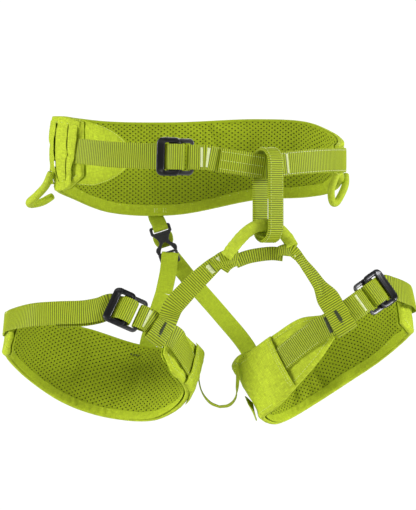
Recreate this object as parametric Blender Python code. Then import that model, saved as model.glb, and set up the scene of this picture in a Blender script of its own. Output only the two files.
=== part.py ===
"""A child's sit harness for climbing: padded waist belt, two leg loops, the webbing between them and their buckles.

X runs to the right across the front, Y to the back and Z up. The origin is the middle of the waist opening.
Lengths in this file are millimetres and are turned to metres where a mesh is made.
"""

import math

import bmesh
import bpy
import numpy as np
from mathutils import Matrix, Vector

MM = 0.001
GAP = 0.35  # between pieces that touch

# Driving dimensions
WEBBING_WIDTH = 25.0
WEBBING_THICK = 1.6
BRIDGE_WIDTH = 20.0
BRIDGE_THICK = 1.8
BRIDGE_REACH = 4.0  # from the middle of a leg strap to the middle of the bridge webbing round it
BELAY_WIDTH = 17.0
BELAY_THICK = 3.6
BELAY_HEIGHT = 94.0
BELAY_DEPTH = 33.0
BELAY_YAW = 31.0
BELAY_MIDDLE_Z = -36.0
SHELL_THICK = 1.0
FOAM_THICK = 5.0
LINING_THICK = 1.0
BELT_HALF_WIDTH = 144.5
BELT_HALF_DEPTH = 88.0
BUCKLE_LENGTH = 36.0
BUCKLE_HEIGHT = 38.0
BUCKLE_THICK = 3.4
BUCKLE_THICK_BAR = 7.5
BUCKLE_THIN_BAR = 3.4
SLIDER_THICK = 2.6
SLIDER_BAR = 13.5
GEAR_LOOP_RADIUS = 2.6
SLEEVE_RADIUS = 6.2
BRIDGE_LOWER_WIDTH = 13.5
OVERLAY_THICK = 2.0
LINK_WIDTH = 5.0
LINK_THICK = 1.2
RISER_STRAP_WIDTH = 15.0
RISER_STRAP_THICK = 1.4
RISER_WIDTH = 17.0
RISER_THICK = 1.3
CLIP_LEAN = 18.0
CLIP_THICK = 3.0
SOCKET_HALF_WIDTH = 8.3
SOCKET_HALF_HEIGHT = 7.5
SOCKET_HALF_THICK = 3.4
SOCKET_DROP = 7.0

# Lifts from the face of a wall to the middle of a strap, or to the near and far side of a layer
STRAP_LIFT = 2.2
SIDE_LIFT = 2.4
OVERLAY_LIFT = 4.3
TAIL_LIFT = -1.0
WING_LIFT = (4.5, 5.5)
CUFF_LIFT = (4.0, 5.0)
TRIM_LIFT = (0.5, 1.3)  # inwards from the lining

ROWS_PER_STATION = 3  # rows of a padded wall between two of its stations
STEP_ALONG = 0.02  # share of a station over which a wall's direction is measured

# Colours as linear RGB, roughness and metallic value
FINISHES = {
    "ripstop": ((0.46, 0.58, 0.05), 0.75, 0.0),
    "foam": ((0.25, 0.25, 0.24), 0.9, 0.0),
    "mesh": ((0.19, 0.26, 0.01), 0.85, 0.0),
    "binding": ((0.34, 0.44, 0.04), 0.8, 0.0),
    "webbing": ((0.42, 0.53, 0.05), 0.6, 0.0),
    "buckle": ((0.04, 0.04, 0.042), 0.35, 0.9),
    "clip": ((0.03, 0.03, 0.035), 0.4, 0.0),
    "cord": ((0.40, 0.51, 0.05), 0.65, 0.0),
}

# Belt edge heights by plan angle, counted from the wearer's right-hand view edge through the back
BELT_EDGES = (
    (-12, 14, -14),
    (5, 22, -24),
    (20, 29, -32),
    (40, 39.5, -36.8),
    (65, 43, -39),
    (100, 40, -54.5),
    (130, 40.3, -52),
    (155, 43.5, -38),
    (185, 43.5, -31),
    (205, 42, -29),
    (216, 37, -17),
)

# Leg loop walls: top edge point and bottom edge point, from the outer end round the back to the inner end
LEFT_LEG_WALL = (
    (-184, -37, -158, -188, -43, -171),
    (-188, -26, -155, -192, -38, -190),
    (-190, 6, -156, -195, -6, -196),
    (-165, 44, -160, -175, 24, -219),
    (-115, 66, -170, -135, 40, -246),
    (-60, 66, -187, -86, 40, -261),
    (-22, 44, -191, -44, 18, -262),
    (0, 14, -189, -18, -8, -248),
    (3, -14, -190, -10, -30, -234),
    (-6, -38, -180, -16, -52, -220),
    (-20, -57, -168, -26, -67, -209),
    (-29, -63, -165, -34, -69, -192),
)
RIGHT_LEG_WALL = (
    (200, -38, -140, 203, -46, -162),
    (208, -22, -138, 211, -32, -172),
    (209, 4, -138, 213, -8, -175),
    (178, 42, -142, 186, 22, -200),
    (135, 62, -158, 150, 36, -225),
    (92, 64, -176, 114, 38, -248),
    (58, 48, -190, 88, 22, -262),
    (38, 18, -197, 72, -8, -265),
    (32, -10, -205, 62, -34, -258),
    (50, -38, -191, 78, -58, -244),
    (74, -56, -173, 98, -70, -222),
    (100, -68, -157, 120, -78, -196),
    (120, -73, -154, 133, -79, -177),
)

# The gathered bands of the left wing: where each starts and ends, in stations of the belt's wall
WING_BANDS = ((7.55, 7.95), (8.1, 8.5), (8.75, 9.35), (9.45, 9.95))

# Where the moving bodies turn or slide
BELAY_PIVOT = (68, -80, -7)
LEFT_LEG_PIVOT = (-38, -73, -169)
RIGHT_LEG_PIVOT = (139, -84, -157)
LEFT_GEAR_PIVOT = (-147.25, 0.5, -24.5)
RIGHT_GEAR_PIVOT = (144.25, -16.25, -18)
CLIP_PIVOT = (-35, 84, -83)


def clear_scene():
    for obj in list(bpy.data.objects):
        bpy.data.objects.remove(obj)


def finish_of(name, slot):
    """A material of the object's own, in its slot's finish."""
    colour, roughness, metallic = FINISHES[slot]
    material = bpy.data.materials.new(f"{slot}_{name}")
    material.use_nodes = True
    shader = material.node_tree.nodes["Principled BSDF"]
    shader.inputs["Base Color"].default_value = (*colour, 1)
    shader.inputs["Roughness"].default_value = roughness
    shader.inputs["Metallic"].default_value = metallic
    return material


def add_object(name, data, slot, pivot):
    """Links an object at its pivot. Its mesh or curve is already measured from there."""
    obj = bpy.data.objects.new(name, data)
    obj.location = Vector(pivot) * MM
    data.materials.append(finish_of(name, slot))
    bpy.context.scene.collection.objects.link(obj)
    return obj


def add_mesh(name, points, faces, slot, pivot=(0, 0, 0)):
    """A closed mesh from points in millimetres, with its faces turned outwards."""
    build = bmesh.new()
    verts = [build.verts.new((Vector(p) - Vector(pivot)) * MM) for p in points]
    for face in faces:
        build.faces.new([verts[i] for i in face])
    bmesh.ops.recalc_face_normals(build, faces=build.faces)
    mesh = bpy.data.meshes.new(name)
    build.to_mesh(mesh)
    build.free()
    mesh.shade_smooth()
    mesh.set_sharp_from_angle(angle=math.radians(35))
    return add_object(name, mesh, slot, pivot)


def smooth(rows, at):
    """A cubic curve through the rows, read at row numbers that may lie between two rows."""
    rows = np.array(rows, float)
    steps = np.linalg.norm(np.diff(rows[:, :3], axis=0), axis=1)[:, None]
    slopes = np.diff(rows, axis=0) / steps
    tangents = np.vstack([slopes[:1], (slopes[1:] + slopes[:-1]) / 2, slopes[-1:]])
    i = np.clip(np.floor(at).astype(int), 0, len(rows) - 2)
    t = (np.asarray(at) - i)[:, None]
    h = steps[i]
    return (
        (2 * t**3 - 3 * t**2 + 1) * rows[i]
        + (t**3 - 2 * t**2 + t) * h * tangents[i]
        + (3 * t**2 - 2 * t**3) * rows[i + 1]
        + (t**3 - t**2) * h * tangents[i + 1]
    )


def unit(vectors):
    return vectors / np.linalg.norm(vectors, axis=-1, keepdims=True)


def add_slab(name, front, back, slot, pivot=(0, 0, 0), closed=False):
    """A closed solid between two grids of points, each of rows along the piece and columns across it."""
    rows, columns = front.shape[:2]
    points = np.concatenate([front.reshape(-1, 3), back.reshape(-1, 3)])
    behind = rows * columns

    def at(row, column, side=0):
        return side * behind + (row % rows) * columns + column

    faces = []
    for row in range(rows if closed else rows - 1):
        for column in range(columns - 1):
            for side in (0, 1):
                faces.append([at(row, column, side), at(row, column + 1, side),
                              at(row + 1, column + 1, side), at(row + 1, column, side)])
        for column in (0, columns - 1):
            faces.append([at(row, column), at(row + 1, column),
                          at(row + 1, column, 1), at(row, column, 1)])
    if not closed:
        for row in (0, rows - 1):
            for column in range(columns - 1):
                faces.append([at(row, column), at(row, column + 1),
                              at(row, column + 1, 1), at(row, column, 1)])
    return add_mesh(name, points, faces, slot, pivot)


# Walls: padded panels that follow a curved surface


def wall_points(wall, at, heights, lift):
    """Points on a wall: rows along it, columns down it, lifted outwards from its face."""
    at = np.asarray(at, float)

    def face(where):
        edges = smooth(wall, where)
        drop = (edges[:, 3:] - edges[:, :3])[:, None]
        return edges[:, None, :3] + drop * np.asarray(heights)[None, :, None]

    points = face(at)
    edges = smooth(wall, at)
    along = face(at + STEP_ALONG) - face(at - STEP_ALONG)
    down = np.broadcast_to((edges[:, 3:] - edges[:, :3])[:, None], points.shape)
    normals = unit(np.cross(along, down))
    centre = np.array(wall, float)[:, :3].mean(axis=0)
    if (normals * (points - centre)).sum() < 0:
        normals = -normals
    return points + normals * lift


def add_wall(name, wall, slot, near, far, ends=None, heights=(0, 1), pivot=(0, 0, 0)):
    """One layer of a wall between two distances from its face, over part of its length and height.

    Every layer has its rows at the same places, so that the layers stay parallel.
    """
    start, end = ends or (0, len(wall) - 1)
    rows = np.arange(0, len(wall) - 1, 1 / ROWS_PER_STATION)
    at = [start, *(r for r in rows if start + 0.1 < r < end - 0.1), end]
    columns = np.linspace(*heights, 3)
    front = wall_points(wall, at, columns, far)
    back = wall_points(wall, at, columns, near)
    return add_slab(name, front, back, slot, pivot)


def row_on_wall(wall, at, height, lift, share=1.0):
    """A ribbon's route row that lies on a wall."""
    face = wall_points(wall, [at], (height,), 0)[0, 0]
    lifted = wall_points(wall, [at], (height,), lift)[0, 0]
    return (*lifted, *unit(lifted - face), share)


def belt_wall():
    rows = []
    for angle, top, bottom in BELT_EDGES:
        x = BELT_HALF_WIDTH * math.cos(math.radians(angle))
        y = BELT_HALF_DEPTH * math.sin(math.radians(angle))
        rows.append((x, y, top, x, y, bottom))
    return rows


# Ribbons: webbing along a route. A route row is x, y, z, the outward direction, and a share of the full width.


def facing(azimuth, pitch=0.0):
    """The outward direction for a plan angle and a tilt upwards, in degrees."""
    a, p = math.radians(azimuth), math.radians(pitch)
    return (math.cos(a) * math.cos(p), math.sin(a) * math.cos(p), math.sin(p))


def row(x, y, z, azimuth=-90.0, pitch=0.0, share=1.0):
    return (x, y, z, *facing(azimuth, pitch), share)


def belt_row(angle, z, lift, share=1.0, inward=False):
    """A route row on the belt's oval, lifted outwards from it."""
    a = math.radians(angle)
    normal = unit(np.array([math.cos(a) / BELT_HALF_WIDTH, math.sin(a) / BELT_HALF_DEPTH, 0]))
    place = np.array([BELT_HALF_WIDTH * math.cos(a), BELT_HALF_DEPTH * math.sin(a), z]) + normal * lift
    return (*place, *(-normal if inward else normal), share)


def ribbon_frame(route, at):
    """Middle line, across directions and outward directions of a ribbon, and its shares of the full width."""
    line = smooth(route, at)
    ahead = smooth(route, np.minimum(at + STEP_ALONG, len(route) - 1))
    along = ahead - smooth(route, np.maximum(at - STEP_ALONG, 0))
    across = unit(np.cross(along[:, :3], line[:, 3:6]))
    return line[:, :3], across, unit(np.cross(across, along[:, :3])), line[:, 6:]


def wrap_round(route, at, edge, reach, slant):
    """Rows of a ribbon that comes down behind another one, turns under its edge and goes up in front."""
    middle, across, outward, _ = (part[0] for part in ribbon_frame(route, np.array([float(at)])))
    across = across * -np.sign(across[2])
    along = np.cross(outward, across)
    turns = ((-7, -reach, -outward), (2, -reach, -outward), (edge - 2, -reach, -outward), (edge + 2, 0, across),
             (edge - 2, reach, outward), (0, reach, outward), (-10, reach, outward))
    return [(*(middle + (across + along * slant) * down + outward * lift), *face, 1)
            for down, lift, face in turns]


def add_ribbon(name, route, width, thick, slot, per_row=3, pivot=(0, 0, 0)):
    middle, across, outward, share = ribbon_frame(
        route, np.linspace(0, len(route) - 1, (len(route) - 1) * per_row + 1))
    face = outward * thick / 2
    across = across * (width / 2) * share
    front = np.stack([middle + across + face, middle - across + face], axis=1)
    back = np.stack([middle + across - face, middle - across - face], axis=1)
    return add_slab(name, front, back, slot, pivot)


def add_tube(name, route, radius, slot, per_row=4, sides=2, pivot=(0, 0, 0)):
    """A round tube along a smooth route, as a curve with filled ends."""
    data = bpy.data.curves.new(name, "CURVE")
    data.dimensions = "3D"
    data.bevel_depth = radius * MM
    data.bevel_resolution = sides
    data.use_fill_caps = True
    spline = data.splines.new("POLY")
    line = smooth(route, np.linspace(0, len(route) - 1, (len(route) - 1) * per_row + 1))
    spline.points.add(len(line) - 1)
    for point, place in zip(spline.points, (line - np.array(pivot)) * MM):
        point.co = (*place, 1)
    return add_object(name, data, slot, pivot)


# Buckles: a frame that tilts and a slider behind it, round both of which the webbing folds


def buckle_matrix(centre, azimuth, pitch, roll):
    """A buckle's own axes: x from its thick bar to the sewn webbing, y to the back, z across."""
    back = -Vector(facing(azimuth, pitch))
    side = Vector((0, 0, 1)).cross(back).normalized() * -1
    up = side.cross(back).normalized()
    along = side * math.cos(math.radians(roll)) + up * math.sin(math.radians(roll))
    across = along.cross(back)
    matrix = Matrix((along, back, across)).transposed().to_4x4()
    matrix.translation = Vector(centre)
    return matrix


def rounded_loop(x0, x1, half, radius, corner_steps=3):
    """Points of a rounded rectangle between x0 and x1, half high each way."""
    loop = []
    for corner, (cx, cz) in enumerate(((x1 - radius, half - radius), (x0 + radius, half - radius),
                                       (x0 + radius, radius - half), (x1 - radius, radius - half))):
        for step in range(corner_steps + 1):
            turn = math.radians(90 * corner + 90 * step / corner_steps)
            loop.append((cx + radius * math.cos(turn), cz + radius * math.sin(turn)))
    return loop


def add_ring_plate(name, outer, inner, front, back, matrix, slot, pivot, edge=0.7):
    """A flat plate with one window, beveled round its edges."""
    count = len(outer)
    points = [matrix @ Vector((x, y, z)) for loop in (outer, inner) for y in (front, back) for x, z in loop]
    faces = []
    for i in range(count):
        j = (i + 1) % count
        for a, b in ((0, 1), (2, 3), (0, 2), (1, 3)):
            faces.append([a * count + i, a * count + j, b * count + j, b * count + i])
    obj = add_mesh(name, points, faces, slot, pivot)
    bevel = obj.modifiers.new("edge", "BEVEL")
    bevel.width = edge * MM
    bevel.segments = 1
    bevel.limit_method = "ANGLE"
    bevel.angle_limit = math.radians(50)
    return obj


FRAME_X = (-BUCKLE_LENGTH / 2, 4.6)
SLIDER_X = (-7.2, BUCKLE_LENGTH / 2)


def add_buckle(prefix, matrix):
    """The frame, whose origin is on its tilt axis, and the slider behind it."""
    half = BUCKLE_HEIGHT / 2
    window = WEBBING_WIDTH / 2
    tilt = matrix @ Vector((FRAME_X[1], 0, 0))
    add_ring_plate(f"{prefix}_frame", rounded_loop(*FRAME_X, half, 4.5),
                   rounded_loop(FRAME_X[0] + BUCKLE_THICK_BAR, FRAME_X[1] - BUCKLE_THIN_BAR, window + 1.2, 1.2),
                   -BUCKLE_THICK, 0, matrix, "buckle", tilt)
    add_ring_plate(f"{prefix}_slider", rounded_loop(*SLIDER_X, half - 1.2, 3.6),
                   rounded_loop(SLIDER_X[0] + SLIDER_BAR, SLIDER_X[1] - BUCKLE_THIN_BAR, window + 1.0, 1.0),
                   GAP, GAP + SLIDER_THICK, matrix, "buckle", tuple(matrix.translation), edge=0.5)


def in_buckle(matrix, rows):
    """Route rows given in a buckle's own x and y, with the outward turn from its front in degrees."""
    route = []
    for x, y, turn in rows:
        place = matrix @ Vector((x, y, 0))
        a = math.radians(turn)
        face = matrix.to_3x3() @ Vector((math.sin(a), -math.cos(a), 0))
        route.append((*place, *face, 1))
    return route


# The free webbing comes up behind the thick bar, over the frame's thin bar and back behind the slider.
THREADED = ((-14, 1.35, 0), (-11.2, 1.3, -6), (-8.4, -0.7, -42), (-5, -3.4, -34), (-1.2, -4.9, -6), (3, -4.9, 8),
            (7.4, -3.2, 55), (8.7, 1.0, 90), (7.6, 4.6, 135), (3.5, 5.4, 180), (-6, 5.4, 180), (-14, 5.2, 180))
# The sewn webbing turns round the slider's far bar.
SEWN = ((25.5, 3.6, 180), (21.5, 4.5, 180), (17, 4.8, 180), (13.2, 3.9, 225), (12.4, 1.8, 270), (13.4, -0.4, 315),
        (17, -1.2, 360), (24, -1.1, 360), (31, -0.9, 360))


# The waist belt


def trim_lifts(inside):
    """The far and near side of a layer on the lining, whose inner side is this deep in the wall."""
    return -inside - TRIM_LIFT[1], -inside - TRIM_LIFT[0]


def make_belt():
    wall = belt_wall()
    last = len(wall) - 1
    foam = SHELL_THICK + GAP
    lining = foam + FOAM_THICK + GAP
    trim = trim_lifts(lining + LINING_THICK)
    add_wall("belt_outer_shell", wall, "ripstop", -SHELL_THICK, 0)
    add_wall("belt_foam_core", wall, "foam", -foam - FOAM_THICK, -foam, (0.15, last - 0.15), (0.04, 0.96))
    add_wall("belt_mesh_lining", wall, "mesh", -lining - LINING_THICK, -lining, (0.1, last - 0.1), (0.02, 0.98))
    add_wall("belt_bottom_binding", wall, "binding", *trim, heights=(0.86, 1.0))
    add_wall("belt_end_patch_left", wall, "ripstop", *trim, (last - 3.1, last), (0.02, 0.85))
    add_wall("belt_end_patch_right", wall, "ripstop", *trim, (0, 0.7), (0.02, 0.85))
    for number, ends in enumerate(WING_BANDS, 1):
        add_wall(f"wing_band_{number}", wall, "ripstop", *WING_LIFT, ends)


def make_belt_webbing(buckle):
    left = [belt_row(angle, z, STRAP_LIFT) for angle, z in
            ((172, 12), (181, 12), (190, 11.5), (202, 10), (214, 8.2), (230, 4.8), (243, 3.0))]
    tail = [belt_row(angle, z, TAIL_LIFT, inward=True) for angle, z in ((247, 2.6), (236, 3.6), (228, 5.0))]
    add_ribbon("belt_adjusting_webbing", left + in_buckle(buckle, THREADED) + tail,
               WEBBING_WIDTH, WEBBING_THICK, "webbing", 2)
    right = [belt_row(277.6, -1.6, SIDE_LIFT)]
    right += [belt_row(angle, z, STRAP_LIFT) for angle, z in
              ((288, -5.2), (297, -8.0), (304, -5.6), (321, -2.3), (335, -1.0), (349, -0.5),
               (365, 0), (385, 0), (405, 0))]
    add_ribbon("belt_tie_in_webbing", in_buckle(buckle, SEWN) + right, WEBBING_WIDTH - 1, WEBBING_THICK,
               "webbing", 2)
    overlay = [belt_row(angle, z, OVERLAY_LIFT) for angle, z in
               ((278, -1.7), (285, -4.2), (291, -6.4), (296.5, -8.4))]
    add_ribbon("tie_in_overlay", overlay, WEBBING_WIDTH - 2, OVERLAY_THICK, "webbing")


def make_belay_loop():
    """A closed band in an upright plane, turned about the vertical by its yaw."""
    x, y, _ = BELAY_PIVOT
    yaw = math.radians(BELAY_YAW)
    forward = np.array([math.sin(yaw), -math.cos(yaw), 0])
    side = np.array([math.cos(yaw), math.sin(yaw), 0])
    radius = (BELAY_DEPTH - BELAY_THICK) / 2
    straight = BELAY_HEIGHT / 2 - BELAY_THICK / 2 - radius
    centre = np.array([x, y, BELAY_MIDDLE_Z])
    middle, outward = [], []
    for start in (0, 180):
        for step in range(9):
            a = math.radians(start + step * 180 / 8)
            out = forward * math.cos(a) + np.array([0, 0, math.sin(a)])
            middle.append(centre + out * radius + np.array([0, 0, straight if start == 0 else -straight]))
            outward.append(out)
    middle, outward = np.array(middle), np.array(outward)
    edge = side * BELAY_WIDTH / 2
    face = outward * BELAY_THICK / 2
    front = np.stack([middle + face + edge, middle + face - edge], axis=1)
    back = np.stack([middle - face + edge, middle - face - edge], axis=1)
    add_slab("belay_loop", front, back, "webbing", BELAY_PIVOT, closed=True)


# The bridge between the leg loops, which hangs in the belay loop


def make_bridge(left_strap, right_strap):
    """Both ends turn round the front webbing of a leg loop, at the row that the leg pivot gives."""
    left = wrap_round(left_strap, len(SEWN) - 1, WEBBING_WIDTH / 2 + 0.6, BRIDGE_REACH, -0.05)
    left += [row(-26, -76.5, -147, -90, 5), row(-17, -76, -136), row(-0.5, -77, -119, -90, 0, 0.92),
             row(13, -79, -106.5, -90, 0, 0.8), row(25, -80, -97, -90, 0, 0.6)]
    add_ribbon("bridge_left_webbing", left, BRIDGE_WIDTH, BRIDGE_THICK, "webbing", 2)
    sleeve = [(31.5, -82, -91), (38, -84, -82), (45.5, -86, -74), (55, -86, -67.5), (68, -80, -65.5),
              (79, -74.5, -70), (87, -75, -78), (92.5, -79.5, -86.5)]
    add_tube("bridge_sleeve", sleeve, SLEEVE_RADIUS, "cord", 2)
    lower = [row(36, -76, -101.5), row(48, -74, -97), row(61, -73, -94.5), row(73, -73, -93.5), row(83, -74, -94.5)]
    add_ribbon("bridge_lower_webbing", lower, BRIDGE_LOWER_WIDTH, BRIDGE_THICK, "webbing")
    right = wrap_round(right_strap, len(SEWN), WEBBING_WIDTH / 2 + 0.6, BRIDGE_REACH, -0.05)
    right += [row(126, -85, -136, -88, 5), row(119, -84.5, -125, -75, 0, 0.65), row(112, -84, -113.5, -60, 0, 0.5),
              row(103, -83, -103, -50, 0, 0.5), row(95, -82, -92.5, -60, 0, 0.5)]
    add_ribbon("bridge_right_webbing", right, BRIDGE_WIDTH + 2, BRIDGE_THICK, "webbing", 2)


# Leg loops


def make_leg_wall(side, wall, cuff, pivot):
    last = len(wall) - 1
    foam = SHELL_THICK + GAP
    lining = foam + FOAM_THICK - 1 + GAP
    trim = trim_lifts(lining + LINING_THICK)
    add_wall(f"{side}_leg_outer_shell", wall, "ripstop", -SHELL_THICK, 0, pivot=pivot)
    add_wall(f"{side}_leg_foam_core", wall, "foam", -foam - FOAM_THICK + 1, -foam, (0.2, last - 0.2), (0.05, 0.95),
             pivot=pivot)
    add_wall(f"{side}_leg_mesh_lining", wall, "mesh", -lining - LINING_THICK, -lining, (0.1, last - 0.1),
             (0.02, 0.98), pivot=pivot)
    add_wall(f"{side}_leg_binding", wall, "binding", *trim, heights=(0.84, 1.0), pivot=pivot)
    add_wall(f"{side}_leg_cuff", wall, "ripstop", *CUFF_LIFT, cuff, pivot=pivot)


def left_front_route(buckle):
    wall = LEFT_LEG_WALL
    front = [row(-38, -73, -169.2, -84, 20), row_on_wall(wall, 10.4, 0.33, 6.0), row_on_wall(wall, 9.9, 0.38, 3.6),
             row_on_wall(wall, 9.3, 0.48, 2.3), row_on_wall(wall, 8.7, 0.54, STRAP_LIFT),
             row_on_wall(wall, 8.0, 0.54, STRAP_LIFT)]
    return in_buckle(buckle, SEWN[:-1]) + front


def make_left_leg(buckle):
    wall, pivot = LEFT_LEG_WALL, LEFT_LEG_PIVOT
    make_leg_wall("left", wall, (7.3, 8.85), pivot)
    add_ribbon("left_leg_front_webbing", left_front_route(buckle), WEBBING_WIDTH - 1, WEBBING_THICK,
               "webbing", 2, pivot)
    side = [row_on_wall(wall, 3.4, 0.2, SIDE_LIFT), row_on_wall(wall, 2.7, 0.2, SIDE_LIFT),
            row_on_wall(wall, 2.0, 0.22, SIDE_LIFT), row_on_wall(wall, 1.2, 0.22, 2.6),
            row_on_wall(wall, 0.3, 0.18, 3.0), row(-164, -62, -154, -107, 18),
            row(-139, -68.5, -152, -98, 20), row(-112, -73.5, -150.8, -92, 20), row(-97, -74.3, -148, -88, 20)]
    tail = [row(-99, -70, -151, 92, -20), row(-115, -68.8, -154, 88, -20), row(-139, -64, -155, 82, -20)]
    add_ribbon("left_leg_side_webbing", side + in_buckle(buckle, THREADED) + tail, WEBBING_WIDTH - 1, WEBBING_THICK,
               "webbing", 2, pivot)


def right_front_route(buckle):
    wall = RIGHT_LEG_WALL
    front = [row(147.5, -83.4, -150.5, -75, 20), row(139, -84, -157.2, -82, 20), row_on_wall(wall, 11.6, 0.48, 4.2),
             row_on_wall(wall, 11.0, 0.48, 2.6), row_on_wall(wall, 10.4, 0.47, 2.3),
             row_on_wall(wall, 9.7, 0.46, STRAP_LIFT), row_on_wall(wall, 9.0, 0.46, STRAP_LIFT)]
    return in_buckle(buckle, SEWN[:-1]) + front


def make_right_leg(buckle):
    wall, pivot = RIGHT_LEG_WALL, RIGHT_LEG_PIVOT
    make_leg_wall("right", wall, (8.85, 9.9), pivot)
    add_ribbon("right_leg_front_webbing", right_front_route(buckle), WEBBING_WIDTH - 1, WEBBING_THICK,
               "webbing", 2, pivot)
    side = [row_on_wall(wall, 3.4, 0.2, SIDE_LIFT), row_on_wall(wall, 2.8, 0.15, SIDE_LIFT),
            row(213, 6, -141, -2, 12), row(213, -20, -137, -22, 14), row(206.5, -40, -133, -42, 18), row(193, -52.5, -128, -55, 20)]
    tail = [row(190, -47.5, -128, 125, -20), row(201, -35, -133, 140, -18)]
    add_ribbon("right_leg_side_webbing", side + in_buckle(buckle, THREADED) + tail, WEBBING_WIDTH - 1, WEBBING_THICK,
               "webbing", 2, pivot)


def make_leg_link():
    link = [row(0, 11, -203, 180), row(-0.5, 6, -216, 190, -15), row(3, 0, -232, 200, -40),
            row(11.5, -5, -242.7, -110, -55), row(20.4, -8, -246.5, -90, -60), row(29.4, -11, -245, -70, -55),
            row(35.8, -16, -238.5, -20, -40), row(38, -22.5, -226.5, 40, -20), row(38.5, -27.5, -213, 40, -10),
            row(37.5, -29.5, -203, 40, -10)]
    add_ribbon("leg_link_elastic", link, LINK_WIDTH, LINK_THICK, "cord")


# The rear riser: a strap and a side-release clip on the belt, and two elastic straps down to the leg loops


def clip_matrix():
    lean = math.radians(CLIP_LEAN)
    up = Vector((-math.sin(lean), 0, math.cos(lean)))
    matrix = Matrix((Vector((math.cos(lean), 0, math.sin(lean))), Vector((0, 1, 0)), up)).transposed().to_4x4()
    matrix.translation = Vector(CLIP_PIVOT)
    return matrix


def box_between(name, low, high, matrix):
    """A box used as a cutter."""
    corners = [matrix @ Vector((x, y, z)) for x in (low[0], high[0]) for y in (low[1], high[1])
               for z in (low[2], high[2])]
    faces = ((0, 1, 3, 2), (4, 6, 7, 5), (0, 4, 5, 1), (2, 3, 7, 6), (0, 2, 6, 4), (1, 5, 7, 3))
    obj = add_mesh(name, corners, faces, "clip")
    obj.hide_render = True
    obj.display_type = "WIRE"
    return obj


def cut(obj, cutter):
    modifier = obj.modifiers.new(cutter.name, "BOOLEAN")
    modifier.operation = "DIFFERENCE"
    modifier.object = cutter


def add_prism(name, outline, half_thick, matrix):
    """A flat outline in a clip's own x and z, thickened both ways."""
    count = len(outline)
    points = [matrix @ Vector((x, y, z)) for y in (-half_thick, half_thick) for x, z in outline]
    faces = [list(range(count)), list(range(count, 2 * count))]
    faces += [[i, (i + 1) % count, count + (i + 1) % count, count + i] for i in range(count)]
    return add_mesh(name, points, faces, "clip", CLIP_PIVOT)


def make_clip():
    matrix = clip_matrix()
    half = ((0, 16), (10, 16), (10.5, 12), (8.5, 10.5), (6, 6), (6.2, 2), (8.5, -1), (11.5, -4), (11, -8), (7, -11),
            (4.2, -8), (1.6, 6), (0, 7.5))
    outline = list(half) + [(-x, z) for x, z in reversed(half[1:-1])]
    plug = add_prism("riser_clip_plug", outline, CLIP_THICK / 2, matrix)
    cut(plug, box_between("plug_strap_window", (-8, -3, 11.2), (8, 3, 13.4), matrix))
    body = rounded_loop(-SOCKET_HALF_WIDTH, SOCKET_HALF_WIDTH, SOCKET_HALF_HEIGHT, 1.5, 2)
    socket = add_prism("riser_clip_socket", [(x, z - SOCKET_DROP) for x, z in body], SOCKET_HALF_THICK, matrix)
    cut(socket, box_between("socket_cavity", (-12, -1.9, -11.4), (12, 1.9, 5), matrix))
    cut(socket, box_between("socket_throat", (-3.2, -5, -3), (3.2, -1, 5), matrix))
    cut(socket, box_between("socket_strap_window", (-6.8, -5, -13.4), (6.8, 5, -12.2), matrix))


def make_riser():
    riser = [row(-45, 87.2, -30, 90), row(-44.5, 87.4, -45, 90), row(-43.6, 86.6, -56, 90),
             row(-41.6, 84.6, -62.5, 90), row(-40.5, 84, -66.2, 90)]
    add_ribbon("riser_strap", riser, RISER_STRAP_WIDTH, RISER_STRAP_THICK, "cord", 2)
    left = [row(-27.5, 89.4, -88, -90), row(-29, 89.2, -98, -90), row(-31.5, 84, -112, -90), row(-36, 79, -134, -90),
            row(-45, 74, -162, -90), row(-51, 72, -182, -90), row(-54, 68.5, -200, -90)]
    add_ribbon("riser_left_elastic", left, RISER_WIDTH, RISER_THICK, "cord", 2, LEFT_LEG_PIVOT)
    right = [row(-23, 92, -89, -90), row(-17.5, 91, -98, -90), row(-12, 88, -107, -90), row(1, 81, -130, -90),
             row(24, 72, -158, -90), row(47, 61, -186, -90), row(55, 55, -200, -90)]
    add_ribbon("riser_right_elastic", right, RISER_WIDTH, RISER_THICK, "cord", 2, RIGHT_LEG_PIVOT)


def make_gear_loops():
    left = [(-147, -26, -13), (-152, -23, -25), (-162, -14, -36), (-169, -3, -42), (-168, 9, -44), (-158, 19, -42),
            (-147.5, 27, -36)]
    add_tube("gear_loop_left", left, GEAR_LOOP_RADIUS, "cord", 3, pivot=LEFT_GEAR_PIVOT)
    right = [(137, -41.5, -14), (131.5, -38, -29), (133.5, -27, -41.5), (139, -13, -42.5), (145.5, -1, -35),
             (151.5, 9, -22)]
    add_tube("gear_loop_right", right, GEAR_LOOP_RADIUS, "cord", 3, pivot=RIGHT_GEAR_PIVOT)


def make_harness():
    clear_scene()
    belt_buckle = buckle_matrix(belt_row(261, 1.5, 3.45)[:3], -95.5, 0, -1.5)
    left_buckle = buckle_matrix((-72, -74, -149.5), -85, 20, -25)
    right_buckle = buckle_matrix((174, -66, -132), -62, 20, 210)
    make_belt()
    make_belt_webbing(belt_buckle)
    add_buckle("belt_buckle", belt_buckle)
    make_belay_loop()
    make_bridge(left_front_route(left_buckle), right_front_route(right_buckle))
    make_left_leg(left_buckle)
    add_buckle("left_leg_buckle", left_buckle)
    make_right_leg(right_buckle)
    add_buckle("right_leg_buckle", right_buckle)
    make_leg_link()
    make_clip()
    make_riser()
    make_gear_loops()


make_harness()
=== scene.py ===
"""Looks of a child's climbing harness: ribbed webbing, padded belt and leg loops, stitching, buckles and clip.

Lengths in this file are millimetres in the frame of the part, and are turned to metres where a mesh is made.
"""

import math

import bmesh
import bpy
import numpy as np
from mathutils import Matrix, Vector


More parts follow.
